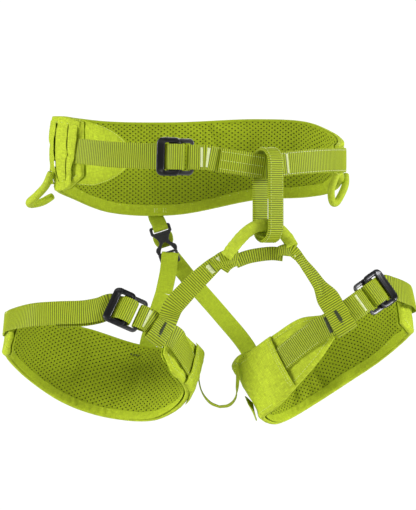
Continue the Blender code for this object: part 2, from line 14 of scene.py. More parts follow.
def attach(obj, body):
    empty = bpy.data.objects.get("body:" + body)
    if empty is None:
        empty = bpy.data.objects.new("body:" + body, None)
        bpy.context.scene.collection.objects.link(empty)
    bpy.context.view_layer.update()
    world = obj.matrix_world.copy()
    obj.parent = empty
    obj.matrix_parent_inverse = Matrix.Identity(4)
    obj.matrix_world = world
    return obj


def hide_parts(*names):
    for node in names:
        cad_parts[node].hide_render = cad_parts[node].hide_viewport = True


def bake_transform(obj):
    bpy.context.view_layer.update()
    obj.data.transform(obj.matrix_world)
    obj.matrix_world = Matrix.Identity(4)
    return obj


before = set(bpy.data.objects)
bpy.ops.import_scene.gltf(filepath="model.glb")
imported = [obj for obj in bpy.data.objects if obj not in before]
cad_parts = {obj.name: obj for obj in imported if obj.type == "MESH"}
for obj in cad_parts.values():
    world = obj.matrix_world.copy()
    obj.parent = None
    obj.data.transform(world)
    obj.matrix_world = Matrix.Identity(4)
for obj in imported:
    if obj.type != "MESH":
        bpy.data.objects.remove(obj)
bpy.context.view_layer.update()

MM = 0.001

# Dimensions that the part's design also holds
WEBBING_WIDTH = 25.0
WEBBING_THICK = 1.6
BRIDGE_WIDTH = 20.0
BRIDGE_THICK = 1.8
BRIDGE_REACH = 4.0
BELAY_WIDTH = 17.0
BELAY_THICK = 3.6
BELAY_HEIGHT = 94.0
BELAY_DEPTH = 33.0
BELAY_YAW = 31.0
BELAY_PIVOT = (68, -80, -7)
BELAY_MIDDLE_Z = -36.0
BELT_HALF_WIDTH = 144.5
BELT_HALF_DEPTH = 88.0
BUCKLE_HEIGHT = 38.0
BUCKLE_THICK = 3.4
FRAME_X = (-18.0, 4.6)
THICK_BAR = 7.5
THIN_BAR = 3.0
SLIDER_X = (-7.2, 18.0)
SLIDER_WINDOW = (6.3, 14.6)
SLIDER_DEPTH = (0.35, 2.95)
STRAP_LIFT = 2.2
SIDE_LIFT = 2.4
OVERLAY_LIFT = 4.3
TAIL_LIFT = -1.0
LEG_BAND = 10.0
LINK_WIDTH = 5.0
LINK_THICK = 1.2
RISER_WIDTH = 17.0
RISER_THICK = 1.3
CLIP_PIVOT = (-35, 84, -83)
CLIP_LEAN = 18.0
STEP_ALONG = 0.02

# Sizes of the surface detail
RIB_PITCH = 2.1
RIB_HEIGHT = 0.38
RIB_ROWS = 6
HOLE_PITCH = 6.2
HOLE_ROW = 2.1
HOLE_RADIUS = 0.8
STITCH_LENGTH = 2.1
STITCH_STEP = 3.1
THREAD_RADIUS = 0.27
STITCH_LIFT = 0.85
BRIDGE_PITCH = 2.3

BELT_EDGES = (
    (-12, 14, -14),
    (5, 22, -24),
    (20, 29, -32),
    (40, 39.5, -36.8),
    (65, 43, -39),
    (100, 40, -54.5),
    (130, 40.3, -52),
    (155, 43.5, -38),
    (185, 43.5, -31),
    (205, 42, -29),
    (216, 37, -17),
)
LEFT_LEG_WALL = (
    (-184, -37, -158, -188, -43, -171),
    (-188, -26, -155, -192, -38, -190),
    (-190, 6, -156, -195, -6, -196),
    (-165, 44, -160, -175, 24, -219),
    (-115, 66, -170, -135, 40, -246),
    (-60, 66, -187, -86, 40, -261),
    (-22, 44, -191, -44, 18, -262),
    (0, 14, -189, -18, -8, -248),
    (3, -14, -190, -10, -30, -234),
    (-6, -38, -180, -16, -52, -220),
    (-20, -57, -168, -26, -67, -209),
    (-29, -63, -165, -34, -69, -192),
)
RIGHT_LEG_WALL = (
    (200, -38, -140, 203, -46, -162),
    (208, -22, -138, 211, -32, -172),
    (209, 4, -138, 213, -8, -175),
    (178, 42, -142, 186, 22, -200),
    (135, 62, -158, 150, 36, -225),
    (92, 64, -176, 114, 38, -248),
    (58, 48, -190, 88, 22, -262),
    (38, 18, -197, 72, -8, -265),
    (32, -10, -205, 62, -34, -258),
    (50, -38, -191, 78, -58, -244),
    (74, -56, -173, 98, -70, -222),
    (100, -68, -157, 120, -78, -196),
    (120, -73, -154, 133, -79, -177),
)


# Camera, floor and light


def make_camera():
    camera = bpy.data.cameras.new("camera")
    camera.lens = 353
    camera.sensor_width = 36
    camera.clip_end = 100
    holder = bpy.data.objects.new("camera", camera)
    holder.location = (0.009, -5.0, -0.095)
    holder.rotation_euler = (math.radians(90), 0, 0)
    bpy.context.scene.collection.objects.link(holder)
    bpy.context.scene.camera = holder


def make_light(name, place, aim, size, power):
    light = bpy.data.lights.new(name, "AREA")
    light.size = size
    light.energy = power
    holder = bpy.data.objects.new(name, light)
    holder.location = place
    holder.rotation_euler = (Vector(aim) - Vector(place)).to_track_quat("-Z", "Y").to_euler()
    bpy.context.scene.collection.objects.link(holder)


def make_studio():
    bpy.context.scene.view_settings.view_transform = "Standard"
    middle = (0, 0, -0.1)
    make_light("left", (-2.7, -1.05, 0.5), middle, 0.9, 62)
    make_light("right", (2.7, -1.15, 0.6), middle, 0.9, 70)
    make_light("front", (-0.4, -3.2, 1.6), middle, 0.7, 9)
    make_light("top", (0.0, -0.3, 2.2), middle, 0.8, 12)
    make_light("back", (0.3, 2.4, 0.9), middle, 1.4, 30)
    world = bpy.data.worlds.new("studio")
    bpy.context.scene.world = world
    world.use_nodes = True
    nodes, links = world.node_tree.nodes, world.node_tree.links
    nodes.clear()
    output = nodes.new("ShaderNodeOutputWorld")
    seen, lit = nodes.new("ShaderNodeBackground"), nodes.new("ShaderNodeBackground")
    seen.inputs["Strength"].default_value = 1.05
    lit.inputs["Strength"].default_value = 0.16
    for background in (seen, lit):
        background.inputs["Color"].default_value = (1, 1, 1, 1)
    path, mix = nodes.new("ShaderNodeLightPath"), nodes.new("ShaderNodeMixShader")
    links.new(path.outputs["Is Camera Ray"], mix.inputs["Fac"])
    links.new(lit.outputs["Background"], mix.inputs[1])
    links.new(seen.outputs["Background"], mix.inputs[2])
    links.new(mix.outputs["Shader"], output.inputs["Surface"])
    bpy.ops.mesh.primitive_plane_add(size=6, location=(0, 0, -0.62))
    floor = bpy.context.object
    floor.name = "floor"
    floor.data.materials.append(Surface("floor_white", (0.9, 0.9, 0.9), 0.9).material)


# Materials


class Surface:
    """A material with the nodes that feed its shader."""

    def __init__(self, name, colour, roughness, metallic=0.0, sheen=0.0):
        self.material = bpy.data.materials.new(name)
        self.material.use_nodes = True
        self.nodes, self.links = self.material.node_tree.nodes, self.material.node_tree.links
        self.inputs = self.nodes["Principled BSDF"].inputs
        for socket, value in (("Base Color", (*colour, 1)), ("Roughness", roughness), ("Metallic", metallic),
                              ("Sheen Weight", sheen), ("Sheen Roughness", 0.5)):
            self.inputs[socket].default_value = value

    def node(self, kind, vector=None, **values):
        """A node with its sockets set by name, which reads a vector if it is given one."""
        made = self.nodes.new(kind)
        for socket, value in values.items():
            made.inputs[socket.replace("_", " ")].default_value = value
        if vector:
            self.links.new(vector, made.inputs["Vector"])
        return made

    def noise(self, scale, detail, vector=None):
        return self.node("ShaderNodeTexNoise", vector, Scale=scale, Detail=detail).outputs["Fac"]

    def place(self):
        return self.nodes.new("ShaderNodeTexCoord").outputs["Object"]

    def attribute(self, name, output):
        reading = self.nodes.new("ShaderNodeAttribute")
        reading.attribute_name = name
        return reading.outputs[output]

    def combine(self, kind, operation, *values):
        """A maths node of sockets and plain values. Returns its output."""
        made = self.nodes.new(kind)
        made.operation = operation
        for socket, value in zip(made.inputs, values):
            if isinstance(value, bpy.types.NodeSocket):
                self.links.new(value, socket)
            else:
                socket.default_value = value
        return made.outputs[0]

    def ramp(self, reading, places, colours):
        """Turns from one colour to another between two readings. Returns the colour output."""
        made = self.nodes.new("ShaderNodeValToRGB")
        for stop, place, colour in zip(made.color_ramp.elements, places, colours):
            stop.position = place
            stop.color = (*colour, 1)
        self.links.new(reading, made.inputs["Fac"])
        return made.outputs["Color"]

    def shade(self, colour, reading, **limits):
        """A colour multiplied by a reading that is brought between two limits. Returns the colour output."""
        share = self.node("ShaderNodeMapRange", **limits)
        self.links.new(reading, share.inputs["Value"])
        return self.combine("ShaderNodeVectorMath", "MULTIPLY", colour, share.outputs["Result"])

    def paint(self, colour):
        self.links.new(colour, self.inputs["Base Color"])

    def bump(self, height, strength, distance):
        made = self.node("ShaderNodeBump", Strength=strength, Distance=distance)
        self.links.new(height, made.inputs["Height"])
        self.links.new(made.outputs["Normal"], self.inputs["Normal"])


def mottle(surface, colour, amount, scale):
    """Colour that wanders by a share of itself, at a fine and at a broad scale. Returns the colour output."""
    place = surface.place()
    half = surface.combine("ShaderNodeMath", "MULTIPLY", surface.noise(scale / 30, 2.0, place), 0.5)
    average = surface.combine("ShaderNodeMath", "MULTIPLY_ADD", surface.noise(scale, 3.0, place), 0.5, half)
    darker, lighter = [c * (1 - amount) for c in colour], [min(1, c * (1 + amount)) for c in colour]
    return surface.ramp(average, (0.35, 0.65), (darker, lighter))


def weave(surface, pitches, depth):
    """Bump of threads both ways over the flat cloth, whose coordinates the mesh holds in metres."""
    flat = surface.attribute("cloth", "Vector")
    waves = []
    for direction, pitch in zip("XY", pitches):
        wave = surface.node("ShaderNodeTexWave", flat, Scale=0.314 / (pitch * MM), Distortion=0.6)
        wave.bands_direction = direction
        waves.append(wave.outputs["Fac"])
    cross = surface.combine("ShaderNodeMath", "ADD", *waves)
    both = surface.combine("ShaderNodeMath", "ADD", cross, surface.noise(900.0, 2.0, surface.place()))
    surface.bump(both, 0.55, depth * MM)


def heather_threads(surface, colour, amount):
    """Lighter and darker yarns both ways over the flat cloth. Returns the colour output."""
    flat = surface.attribute("cloth", "Vector")
    for stretch in ((2200.0, 140.0, 1.0), (140.0, 2200.0, 1.0)):
        yarn = surface.noise(1.0, 1.0, surface.combine("ShaderNodeVectorMath", "MULTIPLY", flat, stretch))
        colour = surface.shade(colour, yarn, From_Min=0.3, From_Max=0.7, To_Min=1 - amount, To_Max=1 + amount)
    return colour


def cloth_material(name, colour, roughness, pitches, depth, sheen=0.25, amount=0.1, groove_shade=None, heather=0.0):
    """Woven cloth. Its colour is darkened between its ribs by the groove share, a painted shade where the grooves
    lie in shadow, and heather is the share by which its yarns differ.
    """
    surface = Surface(name, colour, roughness, sheen=sheen)
    surface.inputs["Sheen Tint"].default_value = (*(min(1, c * 1.4) for c in colour), 1)
    surface.inputs["Specular IOR Level"].default_value = 0.3
    painted = mottle(surface, colour, amount, 420.0)
    if heather:
        painted = heather_threads(surface, painted, heather)
    # painted shade: the colour is darkened in the grooves between the ribs, read from the rib height
    if groove_shade:
        painted = surface.shade(painted, surface.attribute("rib", "Fac"), To_Min=groove_shade, To_Max=1.0)
    surface.paint(painted)
    weave(surface, pitches, depth)
    return surface.material


def metal_material(name, colour, roughness):
    """Dark anodised metal, lighter where an edge is worn."""
    surface = Surface(name, colour, roughness, metallic=0.75)
    surface.inputs["Coat Weight"].default_value = 0.15
    edges = surface.node("ShaderNodeNewGeometry").outputs["Pointiness"]
    surface.paint(surface.ramp(edges, (0.5, 0.62), (colour, [c * 3.2 for c in colour])))
    surface.bump(surface.noise(1600.0, 3.0), 0.15, 0.08 * MM)
    return surface.material


def plastic_material(name, colour, roughness):
    surface = Surface(name, colour, roughness)
    surface.paint(mottle(surface, colour, 0.15, 300.0))
    surface.bump(surface.noise(2600.0, 2.0), 0.25, 0.1 * MM)
    return surface.material


LIME = (0.46, 0.575, 0.012)
MATERIALS = {
    "shell": cloth_material("shell_fabric", (0.46, 0.57, 0.022), 0.8, (0.6, 0.6), 0.08, 0.12, heather=0.2),
    "lining": cloth_material("perforated_lining", (0.315, 0.4, 0.008), 0.9, (0.7, 0.7), 0.08, 0.12),
    # near-black inside of the lining's holes: painted shade where they lie in shadow
    "hole_shade": Surface("painted_hole_shade", (0.05, 0.068, 0.002), 1.0).material,
    "band": cloth_material("stretch_band", (0.43, 0.54, 0.016), 0.82, (0.5, 0.5), 0.07, 0.12, heather=0.14),
    # the last number darkens the colour between the ribs: painted shade in the grooves
    "webbing": cloth_material("ribbed_webbing", LIME, 0.5, (0.7, 0.9), 0.1, 0.12, 0.08, 0.16),
    "sleeve": cloth_material("sleeve_fabric", (0.46, 0.57, 0.025), 0.65, (0.5, 0.5), 0.06, 0.1, heather=0.1),
    "elastic": cloth_material("elastic_tape", (0.37, 0.47, 0.012), 0.65, (0.6, 0.9), 0.08, 0.1, heather=0.1),
    "buckle": metal_material("anodised_buckle", (0.022, 0.022, 0.024), 0.33),
    "slider": metal_material("anodised_slider", (0.07, 0.07, 0.072), 0.33),
    "clip": plastic_material("moulded_clip", (0.02, 0.02, 0.022), 0.4),
    "pale_thread": Surface("pale_thread", (0.72, 0.78, 0.42), 0.6, sheen=0.3).material,
    "lime_thread": Surface("lime_thread", (0.62, 0.72, 0.16), 0.6, sheen=0.3).material,
    "dark_thread": Surface("dark_thread", (0.035, 0.05, 0.004), 0.6, sheen=0.2).material,
}


# Curves, walls and ribbons, as in the part's design


def smooth(rows, at):
    """A cubic curve through the rows, read at row numbers that may lie between two rows."""
    rows = np.array(rows, float)
    steps = np.linalg.norm(np.diff(rows[:, :3], axis=0), axis=1)[:, None]
    slopes = np.diff(rows, axis=0) / steps
    tangents = np.vstack([slopes[:1], (slopes[1:] + slopes[:-1]) / 2, slopes[-1:]])
    i = np.clip(np.floor(at).astype(int), 0, len(rows) - 2)
    t = (np.asarray(at) - i)[:, None]
    h = steps[i]
    return (
        (2 * t**3 - 3 * t**2 + 1) * rows[i]
        + (t**3 - 2 * t**2 + t) * h * tangents[i]
        + (3 * t**2 - 2 * t**3) * rows[i + 1]
        + (t**3 - t**2) * h * tangents[i + 1]
    )


def unit(vectors):
    return vectors / np.linalg.norm(vectors, axis=-1, keepdims=True)


def wall_points(wall, at, heights, lift):
    """Points on a wall: rows along it, columns down it, lifted outwards from its face."""
    at = np.asarray(at, float)

    def face(where):
        edges = smooth(wall, where)
        top, bottom = edges[:, None, :3], edges[:, None, 3:]
        return top + (bottom - top) * np.asarray(heights)[None, :, None]

    points = face(at)
    edges = smooth(wall, at)
    along = face(at + STEP_ALONG) - face(at - STEP_ALONG)
    down = np.broadcast_to((edges[:, 3:] - edges[:, :3])[:, None], points.shape)
    normals = unit(np.cross(along, down))
    centre = np.array(wall, float)[:, :3].mean(axis=0)
    if (normals * (points - centre)).sum() < 0:
        normals = -normals
    return points + normals * lift


def row_on_wall(wall, at, height, lift):
    face = wall_points(wall, [at], (height,), 0)[0, 0]
    lifted = wall_points(wall, [at], (height,), lift)[0, 0]
    return (*lifted, *unit(lifted - face), 1.0)


def belt_wall():
    rows = []
    for angle, top, bottom in BELT_EDGES:
        x = BELT_HALF_WIDTH * math.cos(math.radians(angle))
        y = BELT_HALF_DEPTH * math.sin(math.radians(angle))
        rows.append((x, y, top, x, y, bottom))
    return rows


def facing(azimuth, pitch=0.0):
    a, p = math.radians(azimuth), math.radians(pitch)
    return (math.cos(a) * math.cos(p), math.sin(a) * math.cos(p), math.sin(p))


def row(x, y, z, azimuth=-90.0, pitch=0.0, share=1.0):
    """A row of a ribbon's route: its place, the way that it faces and its share of the full width."""
    return (x, y, z, *facing(azimuth, pitch), share)


def route_rows(*places):
    return [row(*place) for place in places]


def wall_rows(wall, *places):
    """Route rows on a wall, each from its station, its share of the height and its lift."""
    return [row_on_wall(wall, *place) for place in places]


def belt_row(angle, z, lift, inward=False):
    a = math.radians(angle)
    normal = unit(np.array([math.cos(a) / BELT_HALF_WIDTH, math.sin(a) / BELT_HALF_DEPTH, 0]))
    place = np.array([BELT_HALF_WIDTH * math.cos(a), BELT_HALF_DEPTH * math.sin(a), z]) + normal * lift
    return (*place, *(-normal if inward else normal), 1.0)


def belt_rows(lift, *places, inward=False):
    """Route rows round the belt at one lift, each from its angle and its height."""
    return [belt_row(angle, z, lift, inward) for angle, z in places]


def ribbon_frame(route, at):
    """Middle line, across directions and outward directions of a ribbon, and its shares of the full width."""
    line = smooth(route, at)
    ahead = smooth(route, np.minimum(at + STEP_ALONG, len(route) - 1))
    along = ahead - smooth(route, np.maximum(at - STEP_ALONG, 0))
    across = unit(np.cross(along[:, :3], line[:, 3:6]))
    return line[:, :3], across, unit(np.cross(across, along[:, :3])), line[:, 6:]


def wrap_round(route, at, edge, reach, slant):
    """Rows of a ribbon that comes down behind another one, turns under its edge and goes up in front."""
    middle, across, outward, _ = (part[0] for part in ribbon_frame(route, np.array([float(at)])))
    across = across * -np.sign(across[2])
    along = np.cross(outward, across)
    turns = ((-7, -reach, -outward), (2, -reach, -outward), (edge - 2, -reach, -outward), (edge + 2, 0, across),
             (edge - 2, reach, outward), (0, reach, outward), (-10, reach, outward))
    slope = across + along * slant
    return [(*(middle + slope * down + outward * lift), *face, 1) for down, lift, face in turns]


def buckle_matrix(centre, azimuth, pitch, roll):
    """A buckle's own axes: x from its thick bar to the sewn webbing, y to the back, z across."""
    back = -Vector(facing(azimuth, pitch))
    side = Vector((0, 0, 1)).cross(back).normalized() * -1
    up = side.cross(back).normalized()
    along = side * math.cos(math.radians(roll)) + up * math.sin(math.radians(roll))
    matrix = Matrix((along, back, along.cross(back))).transposed().to_4x4()
    matrix.translation = Vector(centre)
    return matrix


def in_buckle(matrix, rows):
    """Route rows given in a buckle's own x and y, with the outward turn from its front in degrees."""
    route = []
    for x, y, turn in rows:
        a = math.radians(turn)
        face = matrix.to_3x3() @ Vector((math.sin(a), -math.cos(a), 0))
        route.append((*(matrix @ Vector((x, y, 0))), *face, 1))
    return route


THREADED = ((-14, 1.35, 0), (-11.2, 1.3, -6), (-8.4, -0.7, -42), (-5, -3.4, -34), (-1.2, -4.9, -6), (3, -4.9, 8),
            (7.4, -3.2, 55), (8.7, 1.0, 90), (7.6, 4.6, 135), (3.5, 5.4, 180), (-6, 5.4, 180), (-14, 5.2, 180))
SEWN = ((25.5, 3.6, 180), (21.5, 4.5, 180), (17, 4.8, 180), (12.7, 3.9, 225), (11.8, 1.8, 270), (12.8, -0.4, 315),
        (17, -1.2, 360), (24, -1.1, 360), (31, -0.9, 360))
BELT_BUCKLE = buckle_matrix(belt_row(261, 1.5, 3.45)[:3], -95.5, 0, -1.5)
LEFT_BUCKLE = buckle_matrix((-72, -74, -149.5), -85, 20, -25)
RIGHT_BUCKLE = buckle_matrix((174, -66, -132), -62, 20, 210)


# Meshes


def grid_faces(rows, columns, offset=0, closed=False):
    """Quads of a grid of points, each a row of four point numbers."""
    i, j = np.meshgrid(np.arange(rows if closed else rows - 1), np.arange(columns - 1), indexing="ij")
    a, b = i * columns + j, ((i + 1) % rows) * columns + j
    return offset + np.stack([a, a + 1, b + 1, b], axis=-1).reshape(-1, 4)


def slab_faces(rows, columns, closed=False):
    """Quads of a closed solid between a front grid and a back grid."""
    behind = rows * columns
    faces = [grid_faces(rows, columns, 0, closed), grid_faces(rows, columns, behind, closed)]
    run = np.arange(rows if closed else rows - 1)
    ahead = (run + 1) % rows
    for column in (0, columns - 1):
        a, b = run * columns + column, ahead * columns + column
        faces.append(np.stack([a, b, b + behind, a + behind], axis=-1))
    if not closed:
        run = np.arange(columns - 1)
        for start in (0, (rows - 1) * columns):
            a = start + run
            faces.append(np.stack([a, a + 1, a + 1 + behind, a + behind], axis=-1))
    return np.concatenate(faces)


def tube_faces(rows, sides, closed=False):
    """Quads of a tube of rings, whose last ring joins its first if it is closed."""
    i, j = np.meshgrid(np.arange(rows if closed else rows - 1), np.arange(sides), indexing="ij")
    here, ahead, turned = i * sides, (i + 1) % rows * sides, (j + 1) % sides
    return np.stack([here + j, here + turned, ahead + turned, ahead + j], axis=-1).reshape(-1, 4)


def tidy_normals(mesh, weld=False):
    """Turns every face outwards, after joining points that lie together if asked."""
    build = bmesh.new()
    build.from_mesh(mesh)
    if weld:
        bmesh.ops.remove_doubles(build, verts=build.verts, dist=0.01 * MM)
    bmesh.ops.recalc_face_normals(build, faces=build.faces)
    build.to_mesh(mesh)
    build.free()


def place_piece(obj, body, nodes=(), slot=None, blend=None):
    """Links a finished piece into the scene, parents it to its body's empty or, if a blend is given, bakes its
    place into its points, and hides the parts that it stands for.
    """
    bpy.context.scene.collection.objects.link(obj)
    if blend:
        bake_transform(obj)
    else:
        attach(obj, body)
    if nodes:
        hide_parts(*nodes)
    return obj


def add_piece(name, points, faces, materials, body, nodes=(), slot="webbing", cloth=None, rib=None, blend=None,
              marks=None, weld=True, sharp=50):
    """A mesh piece from points in millimetres. cloth holds each point's place on the flat cloth."""
    mesh = bpy.data.meshes.new(name)
    mesh.from_pydata((np.asarray(points) * MM).tolist(), [], [list(face) for face in faces])
    if cloth is not None:
        layer = mesh.attributes.new("cloth", "FLOAT_VECTOR", "POINT")
        flat = np.zeros((len(points), 3))
        flat[:, :2] = np.asarray(cloth) * MM
        layer.data.foreach_set("vector", flat.ravel().astype(np.float32))
    if rib is not None:
        layer = mesh.attributes.new("rib", "FLOAT", "POINT")
        layer.data.foreach_set("value", np.asarray(rib, np.float32).ravel())
    for key in (materials if isinstance(materials, (list, tuple)) else [materials]):
        mesh.materials.append(MATERIALS[key])
    if marks is not None:
        mesh.polygons.foreach_set("material_index", np.asarray(marks, np.int32))
    tidy_normals(mesh, weld)
    mesh.shade_smooth()
    mesh.set_sharp_from_angle(angle=math.radians(sharp))
    return place_piece(bpy.data.objects.new(name, mesh), body, nodes, slot, blend)


def add_sheet(name, front, back, along, aside, material, body, nodes, slot, closed=False, **more):
    """A closed sheet between a front and a back grid of points, with their places on the flat cloth."""
    cloth = np.stack(np.broadcast_arrays(along, aside), axis=-1).reshape(-1, 2)
    points = np.concatenate([front.reshape(-1, 3), back.reshape(-1, 3)])
    return add_piece(name, points, slab_faces(*front.shape[:2], closed), material, body, nodes, slot,
                     np.concatenate([cloth, cloth]), **more)


def ripple(seed, s, y, lengths=(9, 40), count=14, angle=(0, math.pi)):
    """A smooth random height between about -1 and 1, from waves of the given lengths in millimetres."""
    random = np.random.default_rng(seed)
    total = np.zeros(np.broadcast(s, y).shape)
    for _ in range(count):
        length = random.uniform(*lengths)
        turn = random.uniform(*angle)
        k = 2 * math.pi / length
        total += np.sin(k * (s * math.cos(turn) + y * math.sin(turn)) + random.uniform(0, 2 * math.pi))
    return total / math.sqrt(count)


# Ribbons


def even_rows(route, step):
    """Row numbers that lie an even step apart along a route, and their distances along it."""
    fine = np.linspace(0, len(route) - 1, (len(route) - 1) * 40 + 1)
    line = smooth(route, fine)[:, :3]
    run = np.concatenate([[0], np.cumsum(np.linalg.norm(np.diff(line, axis=0), axis=1))])
    places = np.linspace(0, run[-1], max(2, int(run[-1] / step) + 1))
    return np.interp(places, run, fine), places


def edge_profile(share, power=6):
    """Thickness share across a band: full in the middle and thin at its edges."""
    return 0.3 + 0.7 * np.sqrt(np.clip(1 - np.abs(share) ** power, 0, 1))


def webbing(name, route, width, thick, body, nodes=(), slot="webbing", material="webbing", pitch=RIB_PITCH,
            rib=RIB_HEIGHT, columns=13, closed=False, blend=None, line=None):
    """A band with ribs across it, cut or closed, along a route or along a line that is given ready."""
    if line is None:
        at, run = even_rows(route, pitch / RIB_ROWS)
        middle, across, outward, share = ribbon_frame(route, at)
    else:
        middle, across, outward, share, run = line
    c = np.sin(np.linspace(-1, 1, columns) * math.pi / 2)
    wave = (0.5 + 0.5 * np.cos(2 * math.pi * run / pitch)) ** 0.75
    fold = 1 / np.sqrt(share)
    edge = edge_profile(c)
    lift = ((thick / 2 - rib) * fold + rib * wave[:, None]) * edge[None]
    half = width / 2 * share * (1 + 0.012 * wave[:, None])
    flat = middle[:, None] + across[:, None] * (half * c[None])[..., None]
    front = flat + outward[:, None] * lift[..., None]
    back = flat - outward[:, None] * lift[..., None]
    # rib height, 1 on a rib and 0 between; the webbing material paints shade into the grooves from it
    ribs = np.tile(np.repeat(wave, columns), 2)
    return add_sheet(name, front, back, run[:, None], c[None] * width / 2, material, body, nodes, slot, closed,
                     rib=ribs, blend=blend, weld=False)


# Stitches

THREADS = {}


def sew(key, starts, ends, normals):
    """Keeps threads from starts to ends for the piece that the key names."""
    THREADS.setdefault(key, []).append((np.asarray(starts), np.asarray(ends), np.asarray(normals)))


def thread_mesh(starts, ends, normals):
    """Points and faces of short threads that rise out of the cloth and dive back into it."""
    radius, sides = THREAD_RADIUS, 6
    ways = unit(ends - starts)
    side = unit(np.cross(ways, normals))
    up = np.cross(side, ways)
    turns = np.arange(sides) * 2 * math.pi / sides
    rings = []
    arch = ((0, 0.3, -0.25), (0.14, 0.9, 0.1), (0.5, 1, 0.3), (0.86, 0.9, 0.1), (1, 0.3, -0.25))
    for share, size, rise in arch:
        middle = starts + (ends - starts) * share + normals * radius * rise * 2
        ring = side[:, None] * np.cos(turns)[None, :, None] + up[:, None] * np.sin(turns)[None, :, None]
        rings.append(middle[:, None] + ring * radius * size)
    points = np.stack(rings, axis=1)
    count = len(starts)
    ends = [[0, 1, 2, 3], [0, 3, 4, 5], [24, 25, 26, 27], [24, 27, 28, 29]]
    one = np.concatenate([tube_faces(5, sides), ends])
    faces = one[None] + (np.arange(count) * 5 * sides)[:, None, None]
    return points.reshape(-1, 3), faces.reshape(-1, 4)


def make_threads():
    """One piece for each key: its name, body or blend, and thread colour."""
    for (name, body, colour, slot, blend), parts in THREADS.items():
        starts, ends, normals = (np.concatenate([part[k] for part in parts]) for k in range(3))
        points, faces = thread_mesh(starts, ends, normals)
        add_piece(name, points, faces, colour, body, (), slot, blend=blend, weld=False)


def thread_key(name, body, colour, slot="webbing", blend=None):
    return (name, body, colour, slot, blend)


def on_ribbon(route, run, aside, lift):
    """Places on a ribbon by distance along it and aside from its middle, and the outward directions there."""
    at, places = even_rows(route, 0.5)
    at = np.interp(run, places, at)
    middle, across, outward, _ = ribbon_frame(route, at)
    return middle + across * np.broadcast_to(aside, run.shape)[:, None] + outward * lift, outward


def seam_on_ribbon(key, route, start, end, aside, lift):
    """A dashed stitch line along a ribbon."""
    run = np.arange(start, end - STITCH_LENGTH, STITCH_STEP)
    a, normal = on_ribbon(route, run, aside, lift)
    b, _ = on_ribbon(route, run + STITCH_LENGTH, aside, lift)
    sew(key, a, b, normal)


def bartack(key, route, run, width, lift, length=2.6, step=0.5, centre=0.0):
    """A dense bar of threads across a ribbon, each thread slanting along it."""
    aside = np.arange(-width / 2, width / 2, step) + centre
    low = np.full(len(aside), run - length / 2)
    a, normal = on_ribbon(route, low, aside, lift)
    b, _ = on_ribbon(route, low + length, aside + step * 0.5, lift)
    sew(key, a, b, normal)


# Padded walls


def inflate(name, outer, inner, caps):
    """Blows up a flat pad as cloth, pinned along its edges, and returns its two faces after it has settled."""
    rows, columns = outer.shape[:2]
    points = np.concatenate([outer.reshape(-1, 3), inner.reshape(-1, 3)])
    border = np.zeros((rows, columns), bool)
    border[[0, -1]] = True
    border[:, [0, -1]] = True
    mesh = bpy.data.meshes.new(name)
    mesh.from_pydata((points * MM).tolist(), [], slab_faces(rows, columns).tolist())
    tidy_normals(mesh)
    obj = bpy.data.objects.new(name, mesh)
    bpy.context.scene.collection.objects.link(obj)
    group = obj.vertex_groups.new(name="edge")
    group.add(np.flatnonzero(np.concatenate([border.ravel(), border.ravel()])).tolist(), 1.0, "ADD")
    cloth = obj.modifiers.new("pressure", "CLOTH")
    cloth.settings.vertex_group_mass = "edge"
    cloth.settings.use_pressure = True
    cloth.settings.uniform_pressure_force = 4
    cloth.settings.shrink_min = -0.04
    cloth.settings.effector_weights.gravity = 0
    cloth.point_cache.frame_end = 20
    for moment in range(1, 21):
        bpy.context.scene.frame_set(moment)
    settled = obj.evaluated_get(bpy.context.evaluated_depsgraph_get()).data
    moved = np.zeros(len(points) * 3)
    settled.vertices.foreach_get("co", moved)
    shift = moved.reshape(-1, 3) / MM - points
    bpy.data.objects.remove(obj)
    bpy.context.scene.frame_set(1)
    faces = []
    for side, cap in enumerate(caps):
        part = shift[side * rows * columns:(side + 1) * rows * columns]
        size = np.linalg.norm(part, axis=1, keepdims=True) + 1e-9
        part = part / size * cap * np.tanh(size / cap)
        start = outer if side == 0 else inner
        faces.append(start + part.reshape(rows, columns, 3))
    return faces


def cubic_weights(t):
    return (-0.5 * t + t**2 - 0.5 * t**3, 1 - 2.5 * t**2 + 1.5 * t**3, 0.5 * t + 2 * t**2 - 1.5 * t**3,
            -0.5 * t**2 + 0.5 * t**3)


